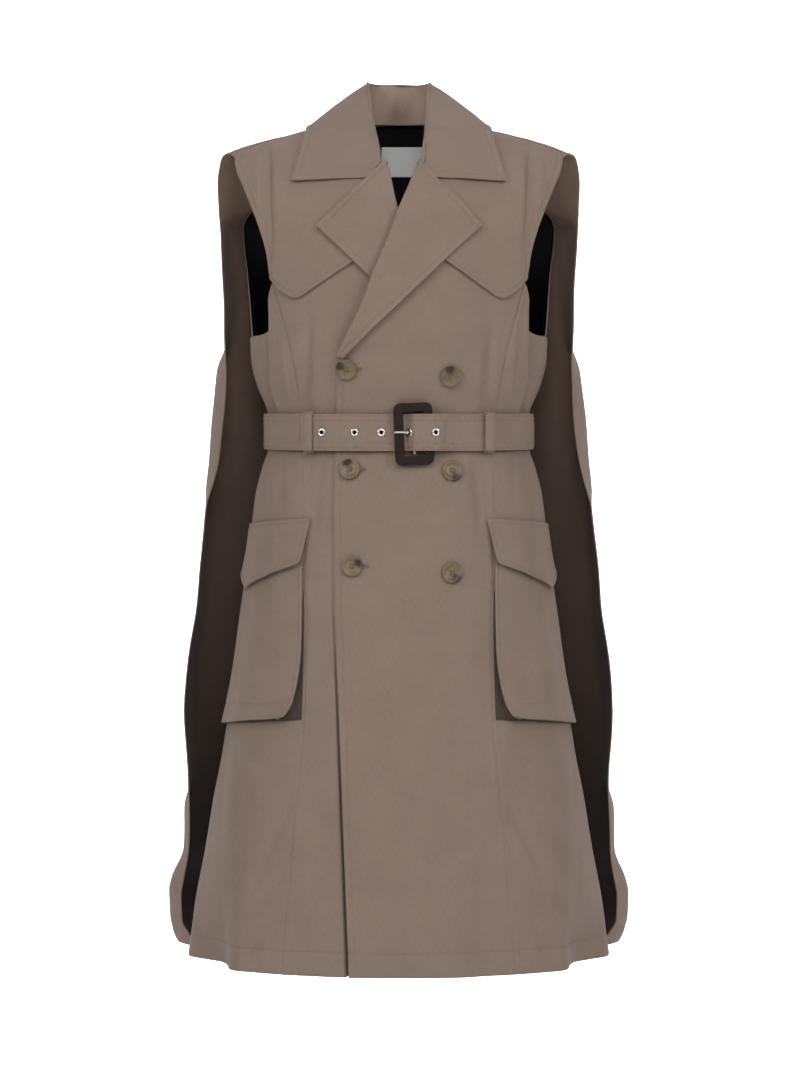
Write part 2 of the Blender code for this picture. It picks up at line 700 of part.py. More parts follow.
def right_front(across, up):
    """Return a point on the outer face of the right front, seen mirrored."""
    inner_x, outer_x, inner_z, outer_z = front_outline(up, lambda z: UNDERLAP, right_roll)
    share = across ** FRONT_COLUMN_EASE
    return hung(front(mix(inner_x, outer_x, share), mix(inner_z, outer_z, share) - EDGE_DROP))


def side_panel(across, up):
    """Return a point on the outer face of a side panel, its top edge rounded up to the armhole."""
    level = level_row(up)
    z = mix(level, seam_row(level), max(1 - across / ARMHOLE_CORNER, 0.0) ** 2)
    return hung(around(mix(SEAM / 2, side_length(z) - SEAM / 2, across), z - EDGE_DROP))


def back_panel(across, up, lift=0.0, hem=HEM, top_drop=EDGE_DROP, middle=0.0):
    """Return a point on the outer face of the back, from the left side to the right, apart in the middle."""
    sign = 1 if across <= 0.5 else -1
    share = abs(2 * across - 1)
    outer_z = max(panel_row(up, UNDERARM, ridge(BACK_OUTER)), hem)
    if below_underarm(up):
        seam_z = outer_z - top_drop
        outer_x = oval_side(SIDE_SEAM_Y + SEAM, half_width(seam_z), back_depth(seam_z), squareness(seam_z))
    else:
        outer_x = armhole_back(outer_z)
    x = sign * mix(middle, outer_x, math.sin(share * math.pi / 2))
    z = max(panel_row(up, UNDERARM, back_top(x)), hem) - top_drop
    return hung(raised(back_turned, -x, z, lift))


def half_back(across, up):
    """Return a point on the outer face of the back's left half, from the side seam to the middle seam."""
    high = max(up - LOW_SHARE, 0.0) / (1 - LOW_SHARE)
    return back_panel(across / 2, up, middle=SEAM / 2 + MIDDLE_ROOM * high ** 2)


def lining_panel(across, up):
    """Return a point on the outward face of the lining, just inside the back, down to the waist."""
    low = (SKIRT_ROWS + BELT_ROWS) / (LOW_ROWS + HIGH_ROWS)
    share = mix(LINING_SHARE.start, LINING_SHARE.end, across)
    return back_panel(share, mix(low, 1.0, up), LINING_LIFT, LINING_HEM, LINING_DROP)


def label_patch(across, up):
    """Return a point on the outward face of the neck label, on the lining."""
    x = LABEL_X + LABEL_WIDE * (0.5 - across)
    return raised(back_turned, -x, mix(LABEL_LOW, LABEL_TOP, up), LABEL_LIFT)


def cape_section(share, z):
    """Return a point of the cape at a height, a share of the way from its middle to its free edge."""
    at = {name: reader(z) for name, reader in cape_columns.items()}
    points = [
        Vector((-at["blade_x"], at["blade_y"], z)), Vector((0, at["back_y"], z)),
        Vector((at["blade_x"], at["blade_y"], z)), Vector((at["side_x"], at["side_y"], z)),
        Vector((at["edge_x"], at["edge_y"], z)),
    ]
    knots = [-CAPE_KNOTS[1]] + list(CAPE_KNOTS)
    point = spline(points, knots, share)
    wave = 0.0
    for flute in FLUTES:
        wave += flute.wave * math.exp(-((share - flute.place) / flute.spread) ** 2)
    fall = max((z - FLUTE_TOP) / (CAPE_HEM - FLUTE_TOP), 0.0)
    return point + Vector((0, wave * fall, 0))


def seam_height(x):
    """Return the height of the shoulder seam, just in front of the shoulder line, lower at its outer end."""
    out = (x - NECK_HALF) / (CAPE_SEAM_OUTER - NECK_HALF)
    return ridge(x) - STORM_SEAM_DROP - STORM_SEAM_DIP * out ** STORM_SEAM_SHARPNESS


def cape_neck(share):
    """Return the points that shape the cape behind the neck, from its seam down."""
    x = NECK_HALF * math.sin(share / NECK_SHARE * math.pi / 2)
    more = CAPE_NECK_ROOM * across_zone(CAPE_NECK_GROW, share / NECK_SHARE)
    return [raised(back_turned, -x, back_top(x) - step.drop, step.gap + more) for step in CAPE_NECK_STEPS]


def cape_shoulder(share):
    """Return the points that shape the cape on a shoulder: seam, over the shoulder line, down the back."""
    out = (share - NECK_SHARE) / (1 - NECK_SHARE)
    x = mix(NECK_HALF, CAPE_SEAM_OUTER, out)
    seam_z = seam_height(x) + CAPE_SEAM_GAP
    body_x = min(x, CAPE_BODY_X)
    more = CAPE_NECK_ROOM * (1 - across_zone(CAPE_NECK_FADE, out))
    tip = out ** CAPE_TIP_SHARPNESS
    wide = x + CAPE_OVERHANG[0] * tip
    points = [
        raised(front, x, seam_z, FLAP_LIFT + CAPE_SEAM_GAP + more),
        raised(front, x, mix(seam_z, ridge(x), CAPE_RIDGE_SHARE), CAPE_RIDGE_GAP + more),
        Vector((wide, 0.0, ridge(wide) + CAPE_RIDGE_GAP + more - CAPE_TIP_DROP * tip)),
    ]
    for step, over in zip(CAPE_SHOULDER_STEPS, CAPE_OVERHANG[1:]):
        wide = x + over * tip
        point = raised(back_turned, -body_x, ridge(body_x) - step.drop, step.gap + more)
        forward = mix(1.0, CAPE_EDGE_FORWARD, tip)
        points.append(Vector((wide, point.y * forward, point.z + ridge(wide) - ridge(body_x))))
    return points


def cape_top(share, part):
    """Return a point of the cape's upper part, from its first level section up to its seam."""
    points = cape_neck(share) if share < NECK_SHARE else cape_shoulder(share)
    points.append(cape_section(share, CAPE[0].height))
    points.append(cape_section(share, CAPE[1].height))
    knots = lengths(points)
    return spline(points, knots, part * knots[-2])


def cape(across, up):
    """Return a point on the outer face of the cape, from its left edge to its right edge."""
    share = abs(2 * across - 1)
    if up < CAPE_TURN:
        point = cape_section(share, mix(CAPE_HEM, CAPE[0].height, up / CAPE_TURN))
    else:
        point = cape_top(share, (1 - up) / (1 - CAPE_TURN))
    return point if across < 0.5 else mirrored(point)


def storm_flap(across, up, under):
    """Return a point on the outer face of a storm flap lying on a front that stands off by the given lift."""
    low_x = mix(STORM_EDGE[0].x, STORM_EDGE[-1].x, across)
    low_z = storm_low(low_x)
    top_x = mix(STORM_INNER_TOP, CAPE_SEAM_OUTER, across)
    top_z = seam_height(top_x)
    rise = 1 - (1 - up) ** STORM_EASE
    x = mix(low_x, top_x, rise) - STORM_BOW * math.sin(math.pi * rise) * (1 - across) ** 2
    z = mix(low_z, top_z, rise)
    edge = armhole_front(mix(STORM_EDGE[-1].height, STORM_SEAM_OUTER, rise))
    straight = mix(STORM_EDGE[-1].x, CAPE_SEAM_OUTER, rise)
    x += (edge - straight) * across
    flare = STORM_FLARE_LOW * (1 - up) ** 3 + STORM_FLARE_TOP * up ** 2
    return raised(front, x, z - STORM_DROP, FLAP_LIFT + flare + under(x, z))


def left_lapel(across, up):
    """Return a point on the outer face of the left lapel, which lies on top."""
    return lapel(across, up, left_lift, roll_line)


def right_lapel(across, up):
    """Return a point on the outer face of the right lapel, seen mirrored, without its hidden foot."""
    return lapel(across, mix(LAPEL_HIDDEN, 1.0, up), no_lift, right_roll)


def lapel(across, share, under, roll):
    """Return a point on the outer face of a lapel, from its roll line to its outer edge."""
    roll_z = mix(LAPEL_FOOT, LAPEL_GORGE, share)
    outer_z = mix(LAPEL_OUTER[0].height, LAPEL_OUTER[-1].height, share)
    outer_x = lapel_outer(outer_z) + LAPEL_FOOT_EASE * (1 - share)
    x = mix(roll(roll_z) - SEAM, outer_x, across)
    z = mix(roll_z, outer_z, across)
    return raised(front, x, z, LAPEL_LIFT + LAPEL_CURL * across ** 3 + under(x, z))


def collar_point(along, name):
    """Return a point of one of the collar's three lines, on the left side."""
    return Vector([collar_columns[name + axis](along) for axis in ("_x", "_y", "_z")])


def cleared(point, along, share):
    """Return a point of the collar moved forward to clear what it lies on, below the shoulder line."""
    height = point.z - ridge(point.x)
    ground = front(point.x, min(point.z, ridge(point.x) - COLLAR_GROUND_DROP))
    clear = mix(COLLAR_CLEAR_OUTER, COLLAR_CLEAR_INNER, share)
    clear = clear * (1 + COLLAR_EXTRA_CLEAR * (1 - share) * (1 - across_zone(COLLAR_HIGH, -height)))
    forward = min(point.y, ground.y - clear)
    needed = across_zone(COLLAR_FRONT, along) * (1 - across_zone(COLLAR_ABOVE, height))
    return Vector((point.x, mix(point.y, forward, needed), point.z))


def sided(point, across, along, share):
    """Return a point of the collar on its own side; the roll's front ends lie a little to the left."""
    shift = COLLAR_SHIFT * share * across_zone(COLLAR_SHIFTED, along)
    return (point if across < 0.5 else mirrored(point)) + Vector((shift, 0, 0))


def collar_fall(across, up):
    """Return a point on the outer face of the collar's fall, from its left end to its right end."""
    along = abs(2 * across - 1)
    point = collar_point(along, "edge").lerp(collar_point(along, "roll"), up)
    swell = FALL_BULGE * math.sin(math.pi * up) * (1 - along)
    sideways = BULGE_SIDE if along > BULGE_SIDE_START else 0.0
    point += Vector((sideways, BULGE_BACK, BULGE_UP)) * swell
    on_shoulder = across_zone(SHOULDER_SWELL_START, along) * (1 - across_zone(SHOULDER_SWELL_END, along))
    point.z += SHOULDER_SWELL * math.sin(math.pi * up) * on_shoulder
    point.z -= NOTCH_DROP * up * (1 - across_zone(NOTCH_TURN, up)) * across_zone(NOTCH_END, along)
    return sided(cleared(point, along, up), across, along, up)


def collar_stand(across, up):
    """Return a point on the outer face of the collar's stand, from its left end to its right end."""
    along = abs(2 * across - 1) * STAND_END
    roll = collar_point(along, "roll")
    inward = Vector((-roll.x, STAND_CENTRE_Y - roll.y, 0)).normalized() * STAND_INSET
    top = roll + inward - Vector((0, 0, STAND_DROP))
    return sided(collar_point(along, "neck").lerp(top, up), across, along, up)


def belt_oval(turn, lift):
    """Return a level point of the belt's oval at an angle from the front, moved out by a lift."""
    sine = math.sin(turn)
    cosine = math.cos(turn)
    depth = BELT_FRONT if cosine > 0 else BELT_BACK
    power = 2 / BELT_SQUARE
    x = math.copysign(abs(sine) ** power, sine) * BELT_SIDE
    y = -math.copysign(abs(cosine) ** power, cosine) * depth
    out = Vector((x / BELT_SIDE ** 2, y / depth ** 2, 0)).normalized()
    return Vector((x, y, BELT_HEIGHT + BELT_DIP * max(cosine, 0.0))) + out * lift


def belt_turn(x):
    """Return the angle at which the belt's oval passes a distance from the middle, at the front."""
    return math.copysign(math.asin((abs(x) / BELT_SIDE) ** (BELT_SQUARE / 2)), x)


def belt(across, up):
    """Return a point of the belt, from its buckle end round the back to its strap end."""
    place = across * BELT_STOPS[-1].columns
    for before, after in zip(BELT_STOPS, BELT_STOPS[1:]):
        if before.columns <= place <= after.columns:
            part = (place - before.columns) / (after.columns - before.columns)
            if before.columns == 0:
                turn = mix(belt_turn(before.x), belt_turn(after.x) - 2 * math.pi, part)
                point = belt_oval(turn, 0.0)
            else:
                x = mix(before.x, after.x, part)
                point = belt_oval(belt_turn(x), strap_lift(x))
    return point + Vector((0, 0, BELT_HALF * (1 - 2 * up)))


def belt_face(x, lift):
    """Return a point above the belt's front at a distance from the middle."""
    return belt_oval(belt_turn(x), lift)


def belt_loop(across, up):
    """Return a point on the outer face of the left belt loop, its rows closest where it turns."""
    rise = LOOP[-1].rise * math.sin((up - 0.5) * math.pi)
    x = LOOP_X + LOOP_HALF * (2 * across - 1)
    z = belt_face(x, 0.0).z + rise
    reach = loop_lift(rise)
    low = raised(front, x, z, reach)
    over = belt_face(x, reach - LOOP[4].lift + LOOP_OVER)
    return low.lerp(Vector((over.x, over.y, z)), blend(LOOP[0].lift, LOOP[3].lift, reach))


def pocket_height(across, up):
    """Return the height of a point of a pocket; its bottom falls toward the back."""
    return mix(mix(POCKET_BOTTOM_INNER, POCKET_BOTTOM_OUTER, across), POCKET_TOP, up)


def pocket_bag(across, up, drop=0.0):
    """Return a point on the outer face of a pocket's front wall, or a drop below it."""
    z = pocket_height(across, up)
    below = (POCKET_CORNER_HEIGHT - pocket_height(0.0, up)) / (POCKET_CORNER_HEIGHT - POCKET_BOTTOM_INNER)
    start = POCKET_INNER + POCKET_CORNER_IN * (1 - math.sqrt(1 - min(max(below, 0.0), 1.0) ** 2))
    distance = mix(start, side_length(z) - POCKET_MARGIN, across)
    low = mix(POCKET_LIFT_INNER, POCKET_LIFT_OUTER, across_zone(LIFT_SIDE, across))
    lift = mix(low, POCKET_LIFT_TOP, up) + POCKET_LIFT_EDGE * (1 - across) ** 3 * (1 - up) ** 2
    return raised(around, distance, z, lift - drop)


def pocket_gusset(across, up):
    """Return a point on the gusset: from the panel up to the front wall, down the inner side and below."""
    if across < GUSSET_TURN:
        rim_share = 0.0
        rim_up = GUSSET_TOP * (1 - across / GUSSET_TURN)
    else:
        rim_share = (across - GUSSET_TURN) / (1 - GUSSET_TURN)
        rim_up = 0.0
    z = pocket_height(rim_share, rim_up)
    base = mix(POCKET_INNER, side_length(z) - POCKET_MARGIN, rim_share)
    foot = raised(around, base, z, GUSSET_FOOT)
    return foot.lerp(pocket_bag(rim_share, rim_up, GUSSET_DROP), up)


def pocket_flap(across, up):
    """Return a point on the outer face of a pocket flap."""
    if across < FLAP_TIP_SHARE:
        low_z = mix(FLAP_LOW_INNER, FLAP_LOW_TIP, across / FLAP_TIP_SHARE)
    else:
        low_z = mix(FLAP_LOW_TIP, FLAP_LOW_OUTER, (across - FLAP_TIP_SHARE) / (1 - FLAP_TIP_SHARE))
    z = mix(low_z, mix(FLAP_TOP_INNER, FLAP_TOP_OUTER, across), up)
    distance = mix(mix(FLAP_INNER_LOW, FLAP_INNER, up), side_length(z) - FLAP_OUTER_MARGIN, across)
    low = mix(FLAP_LIFT_INNER, FLAP_LIFT_OUTER, across_zone(LIFT_SIDE, across))
    return raised(around, distance, z, mix(low, FLAP_LIFT_TOP, up ** FLAP_EASE))


def add_rod(name, points, radius, material):
    """Make a round rod through points."""
    curve = bpy.data.curves.new(name, "CURVE")
    curve.dimensions = "3D"
    curve.bevel_depth = radius
    curve.bevel_resolution = 1
    curve.use_fill_caps = True
    run = curve.splines.new("POLY")
    run.points.add(len(points) - 1)
    for knot, point in zip(run.points, points):
        knot.co = (point.x, point.y, point.z, 1.0)
    return add_object(name, curve, material)


def rounded_outline(wide, tall, corner, steps=4):
    """Return the points of a rectangle with rounded corners."""
    points = []
    for quarter in range(4):
        centre_x = (wide / 2 - corner) * (1 if quarter in (0, 3) else -1)
        centre_y = (tall / 2 - corner) * (1 if quarter in (0, 1) else -1)
        for step in range(steps + 1):
            angle = (quarter + step / steps) * math.pi / 2
            points.append((centre_x + corner * math.cos(angle), centre_y + corner * math.sin(angle)))
    return points


def buckle_place(side, rise):
    """Return a point of the buckle's middle plane: sideways and upward distances from its centre."""
    share = 0.5 + side / (BUCKLE_WIDE - BUCKLE_BAR)
    lift = mix(BUCKLE_LEFT_LIFT, BUCKLE_RIGHT_LIFT, share)
    turned_x = side * math.cos(BUCKLE_TURN) - rise * math.sin(BUCKLE_TURN)
    turned_z = rise * math.cos(BUCKLE_TURN) + side * math.sin(BUCKLE_TURN)
    return Vector((BUCKLE_X + turned_x, -BELT_FRONT - lift, BUCKLE_HEIGHT + turned_z))


def add_buckle():
    """Make the buckle's frame as a flat outline with a window, its edges rounded, then set it on the belt."""
    curve = bpy.data.curves.new("buckle_frame", "CURVE")
    curve.dimensions = "2D"
    curve.fill_mode = "BOTH"
    curve.extrude = BUCKLE_THICK / 2 - BUCKLE_ROUND
    curve.bevel_depth = BUCKLE_ROUND
    curve.bevel_resolution = 1
    wide = BUCKLE_WIDE - 2 * BUCKLE_ROUND
    tall = BUCKLE_TALL - 2 * BUCKLE_ROUND
    window = 2 * (BUCKLE_BAR - 2 * BUCKLE_ROUND)
    for wide, tall, corner in (
        (wide, tall, BUCKLE_CORNER), (wide - window, tall - window, BUCKLE_WINDOW_CORNER),
    ):
        outline = rounded_outline(wide, tall, corner)
        run = curve.splines.new("POLY")
        run.use_cyclic_u = True
        run.points.add(len(outline) - 1)
        for knot, (x, y) in zip(run.points, outline):
            knot.co = (x, y, 0.0, 1.0)
    item = add_object("buckle_frame", curve, "leather")
    side = (buckle_place(BUCKLE_BAR, 0) - buckle_place(0, 0)).normalized()
    rise = (buckle_place(0, BUCKLE_BAR) - buckle_place(0, 0)).normalized()
    turn = Matrix((side, rise, side.cross(rise))).transposed().to_4x4()
    item.matrix_world = Matrix.Translation(buckle_place(0, 0)) @ turn
    return item


def add_button(button):
    """Make a round button by turning a profile, then set it on the left front."""
    profile = bmesh.new()
    knots = []
    for step in BUTTON_PROFILE:
        knots.append(profile.verts.new((step.radius * BUTTON_RADIUS, 0.0, step.height * BUTTON_THICK)))
    for before, after in zip(knots, knots[1:]):
        profile.edges.new((before, after))
    mesh = bpy.data.meshes.new(button.name)
    profile.to_mesh(mesh)
    profile.free()
    item = add_object(button.name, mesh, "horn")
    turn = item.modifiers.new("turn", "SCREW")
    turn.angle = 2 * math.pi
    turn.steps = BUTTON_STEPS
    turn.render_steps = BUTTON_STEPS
    turn.use_merge_vertices = True
    turn.merge_threshold = MERGE_DISTANCE
    turn.use_normal_calculate = True
    lift = left_lift(button.x, button.height) + BUTTON_CLEAR
    item.location = raised(front, button.x, button.height, lift)
    out = outward(front, button.x, button.height)
    item.rotation_mode = "QUATERNION"
    item.rotation_quaternion = out.to_track_quat("Z", "Y")
    return item


def add_eyelet(number, x, clear=SEAM):
    """Make a round eyelet lying on the strap."""
    bpy.ops.mesh.primitive_torus_add(
        major_radius=EYELET_RING, minor_radius=EYELET_WIRE, major_segments=EYELET_STEPS,
        minor_segments=EYELET_SIDES)
    item = bpy.context.object
    item.name = "eyelet_%d" % number
    item.data.name = item.name
    item.data.materials.append(materials["steel"])
    for holder in list(item.users_collection):
        holder.objects.unlink(item)
    garment.objects.link(item)
    seat = belt_face(x, strap_lift(x) + EYELET_WIRE + clear)
    ahead = belt_face(x + EYELET_RING, strap_lift(x + EYELET_RING))
    behind = belt_face(x - EYELET_RING, strap_lift(x - EYELET_RING))
    along = ahead - behind
    along.z = 0
    out = Vector((along.y, -along.x, 0)).normalized()
    item.location = seat
    item.rotation_mode = "QUATERNION"
    item.rotation_quaternion = out.to_track_quat("Z", "Y")
    return item


for old in list(bpy.data.objects):
    bpy.data.objects.remove(old, do_unlink=True)
garment = bpy.data.collections.new("trench_vest")
bpy.context.scene.collection.children.link(garment)
materials = {name: finish(name) for name in FINISHES}

sheet("front_left", left_front, 9, LOW_ROWS + HIGH_ROWS)
sheet("front_right", right_front, 9, LOW_ROWS + HIGH_ROWS, mirror=True)
sheet("side_left", side_panel, 11, LOW_ROWS)
sheet("side_right", side_panel, 11, LOW_ROWS, mirror=True)
sheet("back_left", half_back, 7, LOW_ROWS + HIGH_ROWS)
sheet("back_right", half_back, 7, LOW_ROWS + HIGH_ROWS, mirror=True)
sheet("lining_back", lining_panel, 12, 12, "lining", LINING)
sheet("label", label_patch, 4, 2, "label_satin", LABEL_CLOTH)
sheet("cape", cape, 24, 29, "cape_cloth")
sheet("storm_flap_left", lambda across, up: storm_flap(across, up, left_lift), 9, 11)
sheet("storm_flap_right", lambda across, up: storm_flap(across, up, no_lift), 9, 11, mirror=True)
sheet("lapel_left", left_lapel, 6, 14)
sheet("lapel_right", right_lapel, 6, 12, mirror=True)
sheet("collar_fall", collar_fall, 28, 5)
sheet("collar_stand", collar_stand, 26, 3)
sheet("belt", belt, BELT_STOPS[-1].columns, 1, thickness=BELT_CLOTH)
sheet("belt_loop_left", belt_loop, 1, 14)
sheet("belt_loop_right", belt_loop, 1, 14, mirror=True)
for side in ("left", "right"):
    turned = side == "right"
    sheet("pocket_" + side, pocket_bag, 10, 10, mirror=turned)
    sheet("pocket_gusset_" + side, pocket_gusset, 19, 1, thickness=LINING, mirror=turned)
    sheet("pocket_flap_" + side, pocket_flap, 10, 3, mirror=turned)
add_buckle()
rod_ends = [buckle_place(0, rise) for rise in (-CENTRE_ROD_HALF, CENTRE_ROD_HALF)]
add_rod("buckle_bar", rod_ends, CENTRE_ROD, "steel")
add_rod("buckle_prong", [belt_face(place.x, place.lift) for place in PRONG], PRONG_ROD, "steel")
for number, x in enumerate(EYELETS_X, 1):
    add_eyelet(number, x, EYELET_HELD_CLEAR if number == EYELET_HELD else SEAM)
for button in BUTTONS:
    add_button(button)
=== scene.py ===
"""Looks of a belted, double-breasted trench vest with a long back cape.

Each cloth piece is a thin shell laid on the form of its solid, on a finer grid, with its folds, turned edges
and topstitching. Metres, +Z up; the wearer faces -Y, so the wearer's left is +X.
"""

import math
from collections import namedtuple

import bpy
import numpy as np
from mathutils import Matrix, Vector


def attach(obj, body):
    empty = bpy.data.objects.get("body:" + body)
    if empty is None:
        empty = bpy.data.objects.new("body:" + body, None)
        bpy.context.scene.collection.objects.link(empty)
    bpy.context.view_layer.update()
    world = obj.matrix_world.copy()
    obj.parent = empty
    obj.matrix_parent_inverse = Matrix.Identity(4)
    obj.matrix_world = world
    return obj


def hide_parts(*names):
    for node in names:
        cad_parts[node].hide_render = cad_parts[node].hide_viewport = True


bl_info = {
    "name": "Trench vest",
    "version": (1, 0, 0),
    "blender": (4, 5, 0),
    "location": "View3D > Sidebar > Trench vest",
    "description": "Dresses the solids of a trench vest in cloth, stitching and trim",
    "category": "Add Mesh",
}

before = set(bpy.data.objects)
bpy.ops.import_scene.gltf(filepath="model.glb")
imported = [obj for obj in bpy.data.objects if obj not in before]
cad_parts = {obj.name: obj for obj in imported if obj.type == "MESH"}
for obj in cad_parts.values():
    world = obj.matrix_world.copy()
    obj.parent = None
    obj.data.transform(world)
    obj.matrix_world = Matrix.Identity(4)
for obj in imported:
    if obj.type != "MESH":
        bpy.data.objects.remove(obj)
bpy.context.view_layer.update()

# Layers, as heights of the outer face above the base form of the body
FLAP_LIFT = 0.0024
LAPEL_LIFT = 0.0048
OVERLAP_LIFT = 0.0034
CROSSING_LIFT = 0.0092
LINING_LIFT = -0.0036
LABEL_LIFT = -0.0078

# Shoulder, neck and hem
RIDGE_AT = 0.1166
RIDGE_HEIGHT = 0.0045
RIDGE_SLOPE = -0.25
NECK_HALF = 0.066
NECK_BACK_Y = 0.064
NECK_BACK_HEIGHT = 0.030
SHOULDER_FALL = 0.13
SHOULDER_OUTER = 0.188
BACK_OUTER = 0.174
SHOULDER_ROUNDNESS = 2.4
HEM = -0.9675
HEM_FRONT_RISE = 0.003
HEM_FADE = -0.900
LINING_HEM = -0.322
UNDERARM = -0.2345
SEAM_TOP = -0.1790
SEAM_CLIMB = -0.330
SIDE_SEAM_Y = 0.022
SIDE_NEAR_Y = -0.024
SIDE_WIDEST_Y = 0.006
SIDE_BEYOND_Y = 0.056
SIDE_BEFORE = 0.012
ARMHOLE_CORNER = 0.66
SEAM = 0.0006
SEAM_CLOSE = -0.0002
EDGE_DROP = 0.0007

# Rows of the body panels: from the hem to the belt, under it, up to the underarm, up to the shoulder
ROW_HEIGHTS = (HEM, -0.378, LINING_HEM, UNDERARM)
ROW_SHARES = (0.0, 15 / 22, 18 / 22, 1.0)
LOW_SHARE = 22 / 34
ROW_SLACK = 0.0001

# Bands of rows, each from a low to a high place: close about the hem's stitching, then even to the underarm
Band = namedtuple("Band", "low high count")
HEM_BANDS = (Band(0.0, 0.004, 4), Band(0.008, 0.022, 5), Band(0.024, 0.032, 9))
EVEN_ROWS_START = 0.036
EVEN_ROWS = 170
SHOULDER_ROWS = 64

# Level sections of the body: half width and depths, squareness of the oval
Section = namedtuple("Section", "height half_width front_depth back_depth squareness")
SECTIONS = (
    Section(0.050, 0.270, 0.090, 0.080, 2.20),
    Section(-0.060, 0.262, 0.112, 0.102, 2.20),
    Section(-0.120, 0.232, 0.124, 0.114, 2.30),
    Section(-0.180, 0.196, 0.130, 0.119, 2.40),
    Section(-0.2335, 0.1775, 0.1305, 0.118, 2.45),
    Section(-0.260, 0.1762, 0.129, 0.115, 2.45),
    Section(-0.292, 0.1690, 0.123, 0.108, 2.40),
    Section(-0.324, 0.1570, 0.113, 0.098, 2.35),
    Section(-0.345, 0.1545, 0.109, 0.093, 2.35),
    Section(-0.3655, 0.1545, 0.109, 0.0935, 2.35),
    Section(-0.390, 0.1620, 0.113, 0.101, 2.35),
    Section(-0.420, 0.1700, 0.119, 0.110, 2.35),
    Section(-0.4524, 0.1735, 0.125, 0.118, 2.35),
    Section(-0.560, 0.1835, 0.139, 0.133, 2.30),
    Section(-0.690, 0.2025, 0.154, 0.148, 2.30),
    Section(-0.800, 0.2225, 0.1645, 0.160, 2.30),
    Section(-0.905, 0.2412, 0.172, 0.171, 2.30),
    Section(-0.9675, 0.2512, 0.1725, 0.177, 2.30),
)

# Seam and edge lines, each a distance from the middle at a height
Line = namedtuple("Line", "height x")
ARMHOLE_FRONT = (
    Line(-0.010, 0.1880), Line(-0.0356, 0.1916), Line(-0.0667, 0.1810), Line(-0.0891, 0.1716),
    Line(-0.1222, 0.1586), Line(-0.1465, 0.1517), Line(-0.1758, 0.1463),
)
SIDE_FRONT_SEAM = (
    Line(-0.1780, 0.1460), Line(-0.2216, 0.1348), Line(-0.2525, 0.1265), Line(-0.2933, 0.1184),
    Line(-0.3288, 0.1137), Line(-0.3756, 0.1120), Line(-0.4531, 0.1090), Line(-0.589, 0.1060),
    Line(-0.6808, 0.1078), Line(-0.7673, 0.1151), Line(-0.8445, 0.1215), Line(-0.9279, 0.1288),
    Line(-0.968, 0.1325),
)
ARMHOLE_BACK = (
    Line(-0.011, 0.1740), Line(-0.045, 0.1715), Line(-0.070, 0.1765), Line(-0.0816, 0.1867),
    Line(-0.0926, 0.1903), Line(-0.117, 0.1890), Line(-0.1464, 0.1856), Line(-0.2076, 0.1795),
    Line(-0.2345, 0.1763),
)
LEFT_EDGE = (
    Line(-0.968, -0.0560), Line(-0.930, -0.0570), Line(-0.870, -0.0595), Line(-0.700, -0.0665),
    Line(-0.600, -0.0708), Line(-0.545, -0.0735), Line(-0.455, -0.0745), Line(-0.330, -0.0722),
    Line(-0.2753, -0.0710),
)
ROLL = (
    Line(-0.2753, -0.0710), Line(-0.2151, -0.0416), Line(-0.1751, -0.0269), Line(-0.1353, -0.0099),
    Line(-0.1030, 0.0015), Line(-0.0449, 0.0256), Line(-0.0100, 0.0470), Line(0.0200, 0.0660),
)
LAPEL_OUTER = (
    Line(-0.2680, -0.0625), Line(-0.2015, 0.0072), Line(-0.1187, 0.0925),
)
LAPEL_FOOT = ROLL[0].height + 0.009
LAPEL_GORGE = -0.0449
LAPEL_FOOT_EASE = 0.001
LAPEL_CURL = 0.0010
LAPEL_HIDDEN = 0.25
LAPEL_ROLL_COLUMNS = 8
LAPEL_ROLL_TURN = math.radians(150)
UNDERLAP = -0.062

# The right lapel rolls nearer the middle than the left one, most at the gorge
RIGHT_ROLL_LOW = -0.103
RIGHT_ROLL_SHIFT = 0.008

# How far the left front stands off: where the stand-off of its lap and of its crossing lapels starts and ends
Zone = namedtuple("Zone", "start end")
LAP_TOP = Zone(-0.100, -0.060)
LAP_SIDE = Zone(0.066, 0.106)
CROSSING_FOOT = Zone(-0.268, -0.240)
CROSSING_TOP = Zone(-0.115, -0.065)
CROSSING_SIDE = Zone(0.042, 0.100)

# Where the hem changes from its front height to its side height
HEM_SIDE = Zone(-0.140, -0.030)

# The deep vertical fold beside the side panel: where its edge stands, how far in and back it falls behind
Fold = namedtuple("Fold", "height edge_x inset depth")
SIDE_FOLD = (
    Fold(-0.178, 0.1480, 0.004, 0.001), Fold(-0.2335, 0.1500, 0.020, 0.006),
    Fold(-0.290, 0.1495, 0.020, 0.006), Fold(-0.330, 0.1400, 0.006, 0.002),
    Fold(-0.354, 0.1380, 0.000, 0.000), Fold(-0.600, 0.1580, 0.000, 0.000),
    Fold(-0.760, 0.1720, 0.002, 0.001), Fold(-0.880, 0.1810, 0.006, 0.004),
    Fold(-0.968, 0.1900, 0.014, 0.034),
)
FOLD_EDGE_LIMIT = 0.97
NEAR_INSET = 0.25
NEAR_DEPTH = 0.2
FRONT_STRETCH = 0.92

